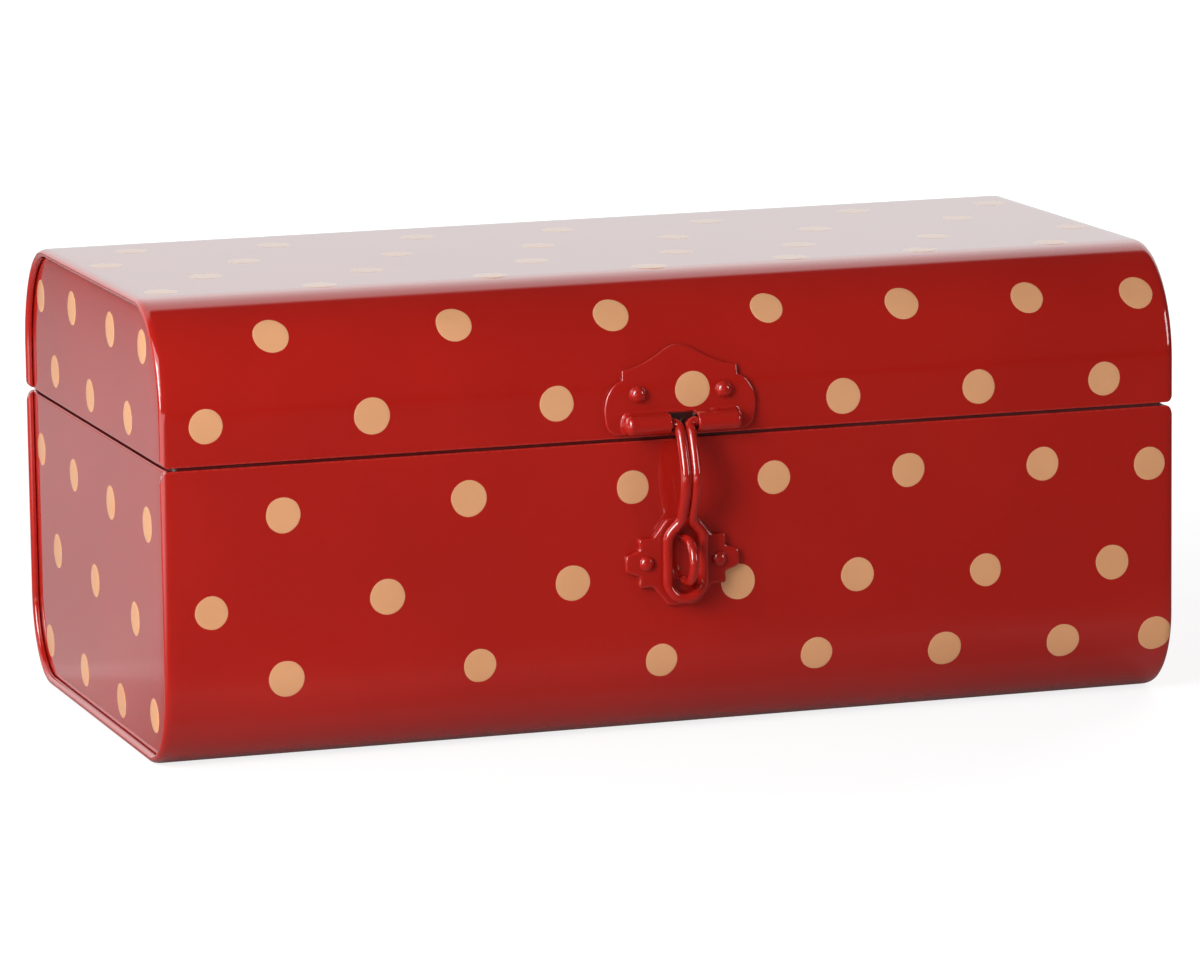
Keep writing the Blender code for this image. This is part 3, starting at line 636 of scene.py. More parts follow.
# Wire loop, as the frame has it: its side view as shares of its length and of its bow
LOOP_WIRE_RADIUS = 0.0014
ENAMEL_COAT = 0.00006
LOOP_LENGTH = 0.0500
LOOP_BOW = 0.0066
LOOP_LEG_SPACING = 0.0032
LOOP_BEND_RADIUS = 0.0018
LOOP_RING_WIDTH = 0.0105
LOOP_NECK_LENGTH = 0.0065
LOOP_SHOULDER_DROP = 0.03285
LOOP_SIDE_SHARES = (
    (0.0, 0.0), (0.05, 0.35), (0.15, 0.70), (0.25, 0.95), (0.32, 1.0), (0.40, 0.86),
    (0.49, 0.58), (0.56, 0.34), (0.66, 0.18), (0.78, 0.12), (0.90, 0.12), (1.0, 0.16),
)
LEG_STEPS = 40
STAPLE_WIRE_RADIUS = 0.00125
STAPLE_SPACING = 0.0121
STAPLE_BEND_RADIUS = 0.0015
STAPLE_TAIL = 0.0040


def loop_points():
    """Middle line of the loop's wire, from pin end to pin end."""
    leg = LOOP_LEG_SPACING / 2
    ring = LOOP_RING_WIDTH / 2
    neck_drop = LOOP_SHOULDER_DROP - LOOP_NECK_LENGTH
    first = Vector((LOOP_SIDE_SHARES[1][1] * LOOP_BOW, LOOP_SIDE_SHARES[1][0] * LOOP_LENGTH)).normalized()
    right = [(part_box("hasp_loop")[1].x, 0, 0)]
    for turn in turns(90, HEM_STEPS // 2):
        away = LOOP_BEND_RADIUS * (1 - math.cos(turn))
        right.append((leg + LOOP_BEND_RADIUS * (1 - math.sin(turn)), away * first.x, away * first.y))
    start = LOOP_BEND_RADIUS * first.y
    stretch = []
    for step in range(1, LEG_STEPS):
        stretch.append((leg, start + (neck_drop - start) * step / LEG_STEPS))
    for step in range(HEM_STEPS + 1):
        share = step / HEM_STEPS
        x = leg + (ring - leg) * (1 - math.cos(math.pi * share)) / 2
        stretch.append((x, neck_drop + share * LOOP_NECK_LENGTH))
    foot = LOOP_LENGTH - ring
    for step in range(1, HEM_STEPS // 2):
        stretch.append((ring, LOOP_SHOULDER_DROP + (foot - LOOP_SHOULDER_DROP) * 2 * step / HEM_STEPS))
    for turn in turns(90, HEM_STEPS):
        stretch.append((ring * math.cos(turn), foot + ring * math.sin(turn)))
    for x, drop in stretch:
        right.append((x, LOOP_BOW * between(LOOP_SIDE_SHARES, drop / LOOP_LENGTH), drop))
    left = [(-x, out, drop) for x, out, drop in reversed(right[:-1])]
    return [Vector((x, LOOP_AXIS.y - out, LOOP_AXIS.z - drop)) for x, out, drop in right + left]


def staple_points():
    """Middle line of the staple's wire, with its tails bent over inside the body."""
    low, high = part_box("keeper_staple")
    centre = (low.z + high.z) / 2
    half = STAPLE_SPACING / 2
    tail_depth = -SHEET - GAP - STAPLE_WIRE_RADIUS
    reach = -low.y - FACE - STAPLE_WIRE_RADIUS
    upper = [(tail_depth, half + STAPLE_BEND_RADIUS + STAPLE_TAIL)]
    for turn in turns(90, HEM_STEPS // 2):
        upper.append((tail_depth + STAPLE_BEND_RADIUS * (1 - math.cos(turn)),
                      half + STAPLE_BEND_RADIUS * (1 - math.sin(turn))))
    for turn in turns(90, HEM_STEPS):
        upper.append((reach - half + half * math.sin(turn), half * math.cos(turn)))
    lower = [(out, -rise) for out, rise in reversed(upper[:-1])]
    return [Vector((0, -FACE - out, centre + rise)) for out, rise in upper + lower]


def shape_group(name, inputs):
    """A Geometry Nodes group that makes one shape and gives it a finish."""
    inputs += (("Finish", "NodeSocketMaterial", None),)
    return new_group("GeometryNodeTree", name, inputs, (("Shape", "NodeSocketGeometry"),))


def painted(tree, shape, source, result):
    """Gives a tree's shape its finish and leads it out of the tree."""
    whole = put(tree, "GeometryNodeSetMaterial", {"Geometry": shape, "Material": source["Finish"]})
    tree.links.new(whole.outputs[0], result[0])
    return tree


def make_wire_tree():
    """Geometry Nodes: a round wire with closed ends swept along the object's line."""
    inputs = (
        ("Line", "NodeSocketGeometry", None),
        ("Radius", "NodeSocketFloat", LOOP_WIRE_RADIUS),
        ("Sides", "NodeSocketInt", 32),
    )
    tree, source, result = shape_group("bent_wire", inputs)
    line = put(tree, "GeometryNodeMeshToCurve", {"Mesh": source["Line"]}).outputs[0]
    ring = put(tree, "GeometryNodeCurvePrimitiveCircle", {
        "Radius": source["Radius"], "Resolution": source["Sides"]}).outputs[0]
    swept = put(tree, "GeometryNodeCurveToMesh", {"Curve": line, "Profile Curve": ring, "Fill Caps": True})
    whole = put(tree, "GeometryNodeRealizeInstances", {0: swept.outputs[0]}).outputs[0]
    return painted(tree, whole, source, result)


def run_tree(thing, tree, values):
    """Runs a Geometry Nodes tree on the object, with its named inputs, and returns the plain mesh object."""
    step = thing.modifiers.new(tree.name, "NODES")
    step.node_group = tree
    for item in tree.interface.items_tree:
        if item.item_type == "SOCKET" and item.in_out == "INPUT" and item.name in values:
            step[item.identifier] = values[item.name]
    return evaluated(thing)


def line_object(name, points):
    """A mesh of one open line through the points."""
    mesh = bpy.data.meshes.new(name)
    mesh.from_pydata([tuple(p) for p in points], [(i, i + 1) for i in range(len(points) - 1)], [])
    return placed(name, mesh)


def make_wires(materials):
    """The hasp's loop and the staple that it closes over."""
    tree = make_wire_tree()
    for name, points, radius, body, node in (
        ("hasp_wire_loop", loop_points(), LOOP_WIRE_RADIUS, "loop", "hasp_loop"),
        ("keeper_wire_staple", staple_points(), STAPLE_WIRE_RADIUS, "body", "keeper_staple"),
    ):
        values = {"Radius": radius + ENAMEL_COAT, "Finish": materials["fittings"]}
        piece = run_tree(line_object(name, points), tree, values)
        finished(piece, materials["fittings"], body, "fittings_enamel", node, sharp=60)


def rivet_template():
    """A domed rivet head with a thin collar, its shank and its tail, round Z with z = 0 on the plate."""
    profile = [(0.0, RIVET_HEAD_HEIGHT)]
    dome = RIVET_HEAD_RADIUS * 0.9
    for turn in turns(90, ARC_STEPS)[1:]:
        height = RIVET_COLLAR + (RIVET_HEAD_HEIGHT - RIVET_COLLAR) * math.cos(turn)
        profile.append((dome * math.sin(turn), height))
    tail = -GAP - PLATE_THICKNESS - GAP - SHEET - GAP
    profile += [
        (RIVET_HEAD_RADIUS * 0.97, RIVET_COLLAR * 0.9),
        (RIVET_HEAD_RADIUS, RIVET_COLLAR * 0.45),
        (RIVET_HEAD_RADIUS, -GAP),
        (RIVET_SHANK_RADIUS, -GAP),
        (RIVET_SHANK_RADIUS, tail),
        (RIVET_TAIL_RADIUS, tail),
        (RIVET_TAIL_RADIUS, tail - RIVET_TAIL_HEIGHT * 0.6),
        (RIVET_TAIL_RADIUS * 0.8, tail - RIVET_TAIL_HEIGHT),
        (0.0, tail - RIVET_TAIL_HEIGHT),
    ]
    points = [(radius, 0, height) for radius, height in profile]
    return spun("rivet_template", points, (0, 0, 0), (0, 0, 1), ROUND_STEPS)


def make_rivet_tree():
    """Geometry Nodes: a rivet on every point, its head along the point's own direction."""
    inputs = (("Places", "NodeSocketGeometry", None), ("Rivet", "NodeSocketObject", None))
    tree, source, result = shape_group("set_rivets", inputs)
    outward = put(tree, "GeometryNodeInputNamedAttribute", {"Name": "outward"}, data_type="FLOAT_VECTOR")
    facing = put(tree, "FunctionNodeAlignRotationToVector", {"Vector": outward.outputs[0]}, axis="Z")
    rivet = put(tree, "GeometryNodeObjectInfo", {"Object": source["Rivet"]})
    spread = put(tree, "GeometryNodeInstanceOnPoints", {
        "Points": source["Places"], "Instance": rivet.outputs["Geometry"],
        "Rotation": facing.outputs[0]}).outputs[0]
    whole = put(tree, "GeometryNodeRealizeInstances", {0: spread}).outputs[0]
    return painted(tree, whole, source, result)


def make_rivets(materials):
    """All rivets of the body and of the lid, each set where its CAD node is."""
    tree = make_rivet_tree()
    template = rivet_template()
    for body in ("body", "lid"):
        nodes = []
        for name in frame["nodes"]:
            moving = "lid" if name.startswith("hasp_rivet") or "_lid_rivet" in name else "body"
            if "rivet" in name and moving == body:
                nodes.append(name)
        places = []
        outward = []
        for name in nodes:
            low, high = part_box(name)
            side = 1 if high.y > 0 else -1
            foot = side * (FACE + GAP + PLATE_THICKNESS + GAP)
            places.append(((low.x + high.x) / 2, foot, (low.z + high.z) / 2))
            outward += [0.0, side, 0.0]
        mesh = bpy.data.meshes.new(body + "_rivets")
        mesh.from_pydata(places, [], [])
        mesh.attributes.new("outward", "FLOAT_VECTOR", "POINT").data.foreach_set("vector", outward)
        values = {"Rivet": template, "Finish": materials["fittings"]}
        piece = run_tree(placed(body + "_rivets", mesh), tree, values)
        finished(piece, materials["fittings"], body, "fittings_enamel", *nodes)
    discard(template)


# Outlines as the frame has them, as shares of half the width and of the height
KEEPER_OUTLINE_SHARES = ((1.0, 0.17), (0.745, 0.29), (0.765, 0.56), (0.52, 0.545), (0.26, 1.0))
HASP_OUTLINE_SHARES = (
    (0.86, 0.0), (0.965, 0.075), (1.0, 0.20), (1.0, 0.375), (0.93, 0.52), (0.85, 0.598),
    (0.77, 0.63), (0.765, 0.745), (0.61, 0.77), (0.42, 0.835), (0.257, 0.915), (0.13, 0.978),
)
HASP_SHARP_POINTS = (0, 6, 7)
HASP_PLATE_HALF_WIDTH = 0.0222
BARREL_RADIUS = 0.0029
BARREL_BORE_RADIUS = 0.0019
BARREL_LENGTH = 0.0350
BARREL_NOTCH_WIDTH = 0.0080
BARREL_FILLET = 0.0011
BARREL_SHARES = (
    (0.0, 1.0), (0.78, 1.0), (0.86, 1.02), (0.91, 1.0),
    (0.945, 0.90), (0.972, 0.73), (0.989, 0.49), (1.0, 0.2),
)
KEEPER_CORNER = 0.0007
KEEPER_COAT = 0.0007
KEEPER_ROUNDING = 0.0006
KEEPER_GROWN = 0.0004
KEEPER_GRAIN = 0.00017

# Fineness of the hasp plate and its barrel
BEND_CUTS = 24
BARREL_STEPS = 90
SKIRT_STEPS = 32


def rounded_corners(points, radius):
    """An outline whose corners are each rounded with a short curve."""
    made = []
    count = len(points)
    for index in range(count):
        here = Vector(points[index])
        before = (Vector(points[index - 1]) - here).normalized()
        after = (Vector(points[(index + 1) % count]) - here).normalized()
        start = here + radius * before
        finish = here + radius * after
        for step in range(BEND_STEPS + 1):
            share = step / BEND_STEPS
            made.append(start * (1 - share) ** 2 + here * 2 * share * (1 - share) + finish * share ** 2)
    return made


def stamped(name, points, thickness, rounding, y, grown=0.0):
    """A flat plate from (x, z, smooth) outline points, with its rims rounded, its middle at the given y."""
    curve = bpy.data.curves.new(name, "CURVE")
    curve.dimensions = "2D"
    curve.fill_mode = "BOTH"
    curve.extrude = thickness / 2 - rounding
    curve.bevel_depth = rounding
    curve.bevel_resolution = 3
    curve.offset = grown - rounding
    curve.resolution_u = 10
    spline = curve.splines.new("BEZIER")
    spline.bezier_points.add(len(points) - 1)
    spline.use_cyclic_u = True
    for knot, (x, z, smooth) in zip(spline.bezier_points, points):
        knot.co = (x, z, 0)
        knot.handle_left_type = knot.handle_right_type = "AUTO" if smooth else "VECTOR"
    thing = placed(name, curve)
    thing.rotation_euler = (math.radians(90), 0, 0)
    thing.location.y = y
    return from_bmesh(name, to_bmesh(evaluated(thing)))


def make_keeper(materials):
    """The stepped keeper plate, its rims thick with paint."""
    low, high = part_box("keeper_plate")
    half_width = (high.x - low.x) / 2
    half_height = (high.z - low.z) / 2
    centre = (high.z + low.z) / 2
    quarter = [(x * half_width, z * half_height) for x, z in KEEPER_OUTLINE_SHARES]
    upper = quarter + [(-x, z) for x, z in reversed(quarter)]
    outline = rounded_corners(upper + [(-x, -z) for x, z in upper], KEEPER_CORNER)
    points = [(p.x, centre + p.y, False) for p in outline]
    thickness = PLATE_THICKNESS + 2 * KEEPER_COAT
    middle = (low.y + high.y) / 2
    plate = stamped("keeper_stepped_plate", points, thickness, KEEPER_ROUNDING, middle, KEEPER_GROWN)
    plate = dipped(plate, KEEPER_GRAIN, 36)
    finished(plate, materials["fittings"], "body", "fittings_enamel", "keeper_plate", sharp=180)


def lid_drop(z):
    """How far the lid's outer face lies behind its wall at a height on the front's round corner."""
    depth, height = LID_CORNER
    up = min(max(z - (CASE_HEIGHT - height), 0) / height, 1.0)
    return depth * (1 - math.sqrt(1 - up ** 2))


def barrel_loft():
    """The barrel pressed out of the hasp plate, with a bulge and a dome at each end."""
    half = BARREL_LENGTH / 2
    dense = [step / BARREL_STEPS for step in range(BARREL_STEPS + 1)]
    right = [(share * half, BARREL_RADIUS * between(BARREL_SHARES, share)) for share in dense]
    stations = [(-x, radius) for x, radius in reversed(right[1:])] + right
    shape = bmesh.new()
    rings = []
    for x, radius in stations:
        size = radius / BARREL_RADIUS
        out = (PLATE_FACE - LOOP_AXIS.y) * size
        fillet = BARREL_FILLET * size
        reach = math.sqrt(max((radius + fillet) ** 2 - (out - fillet) ** 2, 0))
        ring = []
        for turn in turns(90, ARC_STEPS):
            ring.append((fillet * (1 - math.cos(turn)), reach - fillet * math.sin(turn)))
        top = math.atan2(reach, fillet - out)
        for step in range(SKIRT_STEPS + 1):
            turn = top + (math.radians(-90) - top) * step / SKIRT_STEPS
            ring.append((out + radius * math.cos(turn), radius * math.sin(turn)))
        ring += [(-PLATE_THICKNESS * 0.6, -radius), (-PLATE_THICKNESS * 0.6, reach)]
        rings.append([shape.verts.new((x, PLATE_FACE - away, LOOP_AXIS.z + up)) for away, up in ring])
    skinned(shape, rings, capped=True)
    return from_bmesh("barrel_loft", shape)


def rod(name, start, finish, radius):
    """A smooth cylinder between two points, for cutting."""
    shape = bmesh.new()
    run = Vector(finish) - Vector(start)
    turn = run.to_track_quat("Z", "Y").to_matrix().to_4x4()
    middle = Matrix.Translation((Vector(start) + Vector(finish)) / 2)
    bmesh.ops.create_cone(shape, cap_ends=True, segments=ROUND_STEPS, radius1=radius, radius2=radius,
                          depth=run.length, matrix=middle @ turn)
    return from_bmesh(name, shape)


def block(name, low, high):
    """A box between two corners, for cutting."""
    shape = bmesh.new()
    bmesh.ops.create_cube(shape, size=1)
    bmesh.ops.scale(shape, vec=Vector(high) - Vector(low), verts=shape.verts)
    bmesh.ops.translate(shape, vec=(Vector(high) + Vector(low)) / 2, verts=shape.verts)
    return from_bmesh(name, shape)


def dipped(thing, grain, rounds):
    """Runs the joined fitting together under one skin, as if dipped in enamel."""
    melt = thing.modifiers.new("melt", "REMESH")
    melt.mode = "VOXEL"
    melt.voxel_size = grain
    flow = thing.modifiers.new("flow", "SMOOTH")
    flow.factor = 0.5
    flow.iterations = rounds
    return evaluated(thing)


def mark_recess_shade(plate, low):
    """Marks the barrel's bore and the plate's face behind its notch for painted shade: a near-black colour
    that stands in for the shadow in there.
    """
    recess = plate.data.attributes.new("recess", "FLOAT", "POINT")
    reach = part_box("hasp_loop")[1].x
    for vertex in plate.data.vertices:
        place = vertex.co
        away = math.hypot(place.y - LOOP_AXIS.y, place.z - LOOP_AXIS.z)
        behind = abs(place.y - PLATE_FACE) < PLATE_THICKNESS / 2
        behind = behind and abs(place.x) < BARREL_NOTCH_WIDTH / 2 + GAP
        behind = behind and low.z + GAP < place.z < LOOP_AXIS.z + BARREL_RADIUS - GAP
        bored = abs(place.x) < reach and away < BARREL_BORE_RADIUS + GAP / 2
        recess.data[vertex.index].value = 1.0 if behind or bored else 0.0


def make_hasp(materials):
    """The hasp plate, bent to the lid's curve, with its notched barrel under one coat of enamel."""
    low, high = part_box("hasp_plate")
    height = high.z - low.z
    right = []
    for index, (across, up) in enumerate(HASP_OUTLINE_SHARES):
        right.append((across * HASP_PLATE_HALF_WIDTH, low.z + up * height, index not in HASP_SHARP_POINTS))
    outline = right + [(0, high.z, True)] + [(-x, z, smooth) for x, z, smooth in reversed(right)]
    shape = to_bmesh(stamped("hasp_formed_plate", outline, PLATE_THICKNESS, PLATE_ROUNDING, 0))
    wall_end = CASE_HEIGHT - LID_CORNER[1]
    for step in range(BEND_CUTS):
        geometry = list(shape.verts) + list(shape.edges) + list(shape.faces)
        cut_height = wall_end + (high.z - wall_end) * step / BEND_CUTS
        bmesh.ops.bisect_plane(shape, geom=geometry, plane_co=(0, 0, cut_height), plane_no=(0, 0, 1))
    middle = -FACE - GAP - PLATE_THICKNESS / 2
    for vertex in shape.verts:
        vertex.co.y += middle + lid_drop(vertex.co.z)
    plate = from_bmesh("hasp_formed_plate", shape)

    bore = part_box("hasp_loop")[1].x + GAP
    notch = BARREL_NOTCH_WIDTH / 2
    over = BARREL_RADIUS
    start, finish = ((x, LOOP_AXIS.y, LOOP_AXIS.z) for x in (-bore, bore))
    near = (-notch, LOOP_AXIS.y - 2 * over, low.z - over)
    far = (notch, PLATE_FACE, LOOP_AXIS.z + BARREL_RADIUS)
    for tool, operation in (
        (barrel_loft(), "UNION"),
        (rod("bore", start, finish, BARREL_BORE_RADIUS), "DIFFERENCE"),
        (block("notch", near, far), "DIFFERENCE"),
    ):
        plate = cut(plate, tool, operation)
        discard(tool)
    plate = dipped(plate, FITTING_GRAIN, 10)
    finished(plate, materials["fittings"], "lid", "fittings_enamel", "hasp_plate", sharp=180)
    # Marks where painted shade darkens the bore and the notch
    mark_recess_shade(plate, low)


# Rear hinges, with how far round the pin a knuckle is rolled, in degrees
HINGE_KNUCKLE_RADIUS = 0.0023
HINGE_KNUCKLE_LENGTH = 0.0096
HINGE_PIN_RADIUS = 0.0011
HINGE_PIN_HEAD_LENGTH = 0.0010
HINGE_LEAF_ROUNDING = 0.0030
KNUCKLE_TURN = 305
KNUCKLE_STEPS = 24
PIN_DOME_STEPS = 6
PIN_STEPS = 32


def rolled_knuckle(shape, start, finish, toward):
    """Sheet that runs off a hinge leaf and rolls round the pin, between two places along x."""
    radius = HINGE_KNUCKLE_RADIUS - PLATE_THICKNESS / 2
    flat = LID_AXIS.y - radius
    middle = [Vector((flat, LID_AXIS.z + toward * HINGE_KNUCKLE_RADIUS * 1.6))]
    for step in range(KNUCKLE_STEPS + 1):
        turn = math.radians(180) - math.radians(KNUCKLE_TURN) * step / KNUCKLE_STEPS
        rise = -toward * radius * math.sin(turn)
        middle.append(Vector((LID_AXIS.y + radius * math.cos(turn), LID_AXIS.z + rise)))
    loop = [outer for outer, centre in sheet_loop(middle, PLATE_THICKNESS / 2)]
    rings = [[shape.verts.new((x, p.x, p.y)) for p in loop] for x in (start, finish)]
    skinned(shape, rings, capped=True)


def make_leaf(name, node, toward, materials, body):
    """A hinge leaf: a plate with rounded far corners whose knuckles are rolled round the pin."""
    low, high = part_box(node)
    centre = (low.x + high.x) / 2
    half = (high.x - low.x) / 2
    far = low.z if toward < 0 else high.z
    clear = HINGE_KNUCKLE_RADIUS + GAP
    inner = HINGE_KNUCKLE_LENGTH / 2
    own = [(-inner, inner)] if toward > 0 else [(-half, -inner - GAP), (inner + GAP, half)]
    bend = HINGE_LEAF_ROUNDING
    arc = []
    for turn in turns(90, ARC_STEPS):
        arc.append((half - bend + bend * math.cos(turn), far - toward * (bend - bend * math.sin(turn))))
    near = LID_AXIS.z + toward * clear
    right = [(half, near)] + arc
    left = [(-x, z) for x, z in reversed(right)]
    points = [(centre + x, z, False) for x, z in right + left]
    plate = stamped(name, points, PLATE_THICKNESS, PLATE_ROUNDING, low.y + PLATE_THICKNESS / 2)
    for start, finish in own:
        shape = bmesh.new()
        rolled_knuckle(shape, centre + start, centre + finish, toward)
        knuckle = from_bmesh("knuckle", shape)
        plate = cut(plate, knuckle, "UNION")
        discard(knuckle)
    plate = dipped(plate, FITTING_GRAIN, 4)
    finished(plate, materials["fittings"], body, "fittings_enamel", node, sharp=180)


def make_pin(name, node, materials):
    """A hinge pin with a domed head at both ends."""
    low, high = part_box(node)
    head = HINGE_PIN_HEAD_LENGTH
    radius = (high.y - low.y) / 2
    profile = []
    for turn in turns(90, PIN_DOME_STEPS):
        profile.append((radius * math.sin(turn), high.x - head * 0.8 * (1 - math.cos(turn))))
    profile += [(radius, high.x - head), (HINGE_PIN_RADIUS, high.x - head)]
    centre = (low.x + high.x) / 2
    half = [(r, x - centre) for r, x in profile]
    whole = half + [(r, -x) for r, x in reversed(half)]
    points = [(centre + x, LID_AXIS.y + r, LID_AXIS.z) for r, x in whole]
    pin = spun(name, points, (0, LID_AXIS.y, LID_AXIS.z), (1, 0, 0), PIN_STEPS)
    finished(pin, materials["fittings"], "body", "fittings_enamel", node)


def make_hinges(materials):
    """Both rear hinges."""
    for side in ("left", "right"):
        make_leaf("hinge_%s_body_plate" % side, "hinge_%s_body_leaf" % side, -1, materials, "body")
        make_leaf("hinge_%s_lid_plate" % side, "hinge_%s_lid_leaf" % side, 1, materials, "lid")
        make_pin("hinge_%s_headed_pin" % side, "hinge_%s_pin" % side, materials)


# Dots, in millimetres: x and z on the front, x and y on the top, y and z on the ends
MM = 0.001
LID_FRONT_DOTS = (
    (-137, 97), (-89.5, 97), (-36, 97), (49, 94), (90, 94), (128.5, 94),
    (-116, 120), (-63.5, 120), (-17.5, 120), (28.5, 119.5), (69, 118.5), (107, 118), (140.5, 117.5),
)
LID_TOP_DOTS = (
    (-126.5, 39.5), (-85, 35.5), (-41.5, 35.5), (1.5, 33.5), (48, 34), (96, 38), (140, 38.5),
    (-141, 12.5), (-102, 6), (-57.5, 2.5), (-14.5, 3.5), (27.5, 5), (71.5, 5), (118.5, 10.5),
    (-120.5, -20), (-75, -26), (-26, -26.5), (18, -25.5), (55.5, -25), (97.5, -24), (142.5, -21),
    (-140, -45), (-95.5, -49.5), (-46, -50.5), (1, -50.5), (44, -49), (83.5, -49.5), (124, -49.5),
)
BODY_FRONT_DOTS = (
    (-115.5, 71), (-62, 72), (-14, 72), (28, 72), (68.5, 71.5), (109.5, 70.5), (142.5, 68.5),
    (-136.5, 45), (-86, 46), (-32, 46), (17, 43), (53, 42.5), (92, 41), (131, 40.5),
    (-115.5, 25), (-59.5, 24.5), (-6, 22), (40.5, 20.5), (79.5, 19), (116, 18.5), (144.5, 18.5),
)
LID_END_DOTS = ((63, 115), (25, 116.5), (-19.5, 116.5), (-55, 116.5), (47, 95), (5.5, 94), (-37.5, 94))
BODY_END_DOTS = (
    (66.5, 69), (27.5, 67.5), (-15.5, 66.5), (-56.5, 67),
    (49.5, 41.5), (5, 40.5), (-40.5, 37.5),
    (62, 12.5), (20.5, 11.5), (-22, 10.5), (-59.5, 13.5),
)
HASP_DOT = (3.5, 99)
BACK_SHIFT = 4
DOT_SIDES = 56
DOT_RINGS = 8
DISC_MERGE = 0.0005


def make_dot_tree():
    """Geometry Nodes: uneven, slightly domed dots at flat places, laid on a route and round the rim."""
    inputs = (
        ("Places", "NodeSocketGeometry", None),
        ("Route", "NodeSocketObject", None),
        ("Across", "NodeSocketVector", (1.0, 0.0, 0.0)),
        ("Radius", "NodeSocketFloat", DOT_RADIUS),
        ("Thickness", "NodeSocketFloat", DOT_THICKNESS),
        ("Wobble", "NodeSocketFloat", 0.03),
        ("Rim place", "NodeSocketFloat", 1.0),
        ("Rim radius", "NodeSocketFloat", RIM_RADIUS),
        ("Rim sweep", "NodeSocketFloat", HEM_SWEEP + SHEET / 2),
        ("Seed", "NodeSocketInt", 3),
    )
    tree, source, result = shape_group("paint_dots", inputs)

    def sums(operation, *values):
        return maths(tree, operation, *values)

    def vectors(operation, first, second=None, scale=None):
        inputs = {0: first, 1: second, "Scale": scale}
        inputs = {label: value for label, value in inputs.items() if value is not None}
        return put(tree, "ShaderNodeVectorMath", inputs, operation=operation).outputs["Vector"]

    # A disc of unit radius, wrapped from a grid whose rows crowd towards the rim
    grid = put(tree, "GeometryNodeMeshGrid", {
        "Size X": 1.0, "Size Y": 1.0, "Vertices X": DOT_SIDES + 1, "Vertices Y": DOT_RINGS + 1})
    place = put(tree, "GeometryNodeInputPosition").outputs[0]
    flat = put(tree, "ShaderNodeSeparateXYZ", {0: place})
    turn = sums("MULTIPLY", sums("ADD", flat.outputs[0], 0.5), math.tau)
    away = sums("POWER", sums("ADD", flat.outputs[1], 0.5), 0.55)
    across, up = (sums("MULTIPLY", sums(wave, turn), away) for wave in ("COSINE", "SINE"))
    round_place = put(tree, "ShaderNodeCombineXYZ", {0: across, 1: up}).outputs[0]
    polar = put(tree, "GeometryNodeSetPosition", {"Geometry": grid.outputs["Mesh"], "Position": round_place})
    disc = put(tree, "GeometryNodeMergeByDistance", {"Geometry": polar.outputs[0], "Distance": DISC_MERGE})
    place = put(tree, "GeometryNodeInputPosition").outputs[0]
    length = put(tree, "ShaderNodeVectorMath", {0: place}, operation="LENGTH").outputs["Value"]
    kept = put(tree, "GeometryNodeStoreNamedAttribute", {
        "Geometry": disc.outputs[0], "Name": "away", "Value": length},
        data_type="FLOAT", domain="POINT").outputs[0]

    size = put(tree, "FunctionNodeRandomValue", {
        2: 0.95, 3: 1.04, "Seed": source["Seed"]}, data_type="FLOAT").outputs[1]
    size = sums("MULTIPLY", size, source["Radius"])
    spread = put(tree, "GeometryNodeInstanceOnPoints", {
        "Points": source["Places"], "Instance": kept,
        "Scale": put(tree, "ShaderNodeCombineXYZ", {0: size, 1: size, 2: 1.0}).outputs[0]}).outputs[0]
    whole = put(tree, "GeometryNodeRealizeInstances", {0: spread}).outputs[0]

    # The wobble of a hand-masked edge, in the flat
    away = put(tree, "GeometryNodeInputNamedAttribute", {"Name": "away"}, data_type="FLOAT").outputs[0]
    here = put(tree, "GeometryNodeInputPosition").outputs[0]
    drift = put(tree, "ShaderNodeTexNoise", {"Vector": here, "Scale": 130.0, "Detail": 1.5}).outputs["Color"]
    push = vectors("SUBTRACT", drift, (0.5, 0.5, 0.5))
    amount = sums("MULTIPLY", sums("MULTIPLY", source["Wobble"], source["Radius"]), away)
    push = vectors("SCALE", push, scale=sums("MULTIPLY", amount, 4.0))
    flatten = vectors("MULTIPLY", push, (1.0, 1.0, 0.0))
    moved = put(tree, "GeometryNodeSetPosition", {"Geometry": whole, "Offset": flatten}).outputs[0]

    # Round the rim, then along the route
    spot = put(tree, "ShaderNodeSeparateXYZ", {0: put(tree, "GeometryNodeInputPosition").outputs[0]})
    length = sums("ABSOLUTE", spot.outputs[0])
    side = sums("SIGN", spot.outputs[0])
    over = sums("MAXIMUM", sums("SUBTRACT", length, source["Rim place"]), 0.0)
    bend = sums("DIVIDE", over, sums("MULTIPLY", sums("ADD", source["Rim radius"], source[
        "Rim sweep"]), 0.5))
    inside = sums("MINIMUM", length, source["Rim place"])
    dome = mapped(tree, away, 1.0, 0.9, -0.5, 1.0)
    lift = sums("MULTIPLY", dome, source["Thickness"])
    reach = sums("ADD", source["Rim radius"], lift)
    swept = sums("ADD", source["Rim sweep"], lift)
    x = sums("MULTIPLY", side, sums("ADD", inside, sums("MULTIPLY", swept, sums("SINE", bend))))
    height = sums("SUBTRACT", sums("MULTIPLY", reach, sums("COSINE", bend)), source["Rim radius"])
    route = put(tree, "GeometryNodeObjectInfo", {"Object": source["Route"]}).outputs["Geometry"]
    route = put(tree, "GeometryNodeMeshToCurve", {"Mesh": route}).outputs[0]
    at = put(tree, "GeometryNodeSampleCurve", {"Curves": route, "Length": spot.outputs[1]}, mode="LENGTH")
    outward = vectors("NORMALIZE", vectors("CROSS_PRODUCT", at.outputs["Tangent"], source["Across"]))
    final = vectors("ADD", at.outputs["Position"], vectors("SCALE", source["Across"], scale=x))
    final = vectors("ADD", final, vectors("SCALE", outward, scale=height))
    laid = put(tree, "GeometryNodeSetPosition", {"Geometry": moved, "Position": final}).outputs[0]
    return painted(tree, laid, source, result)


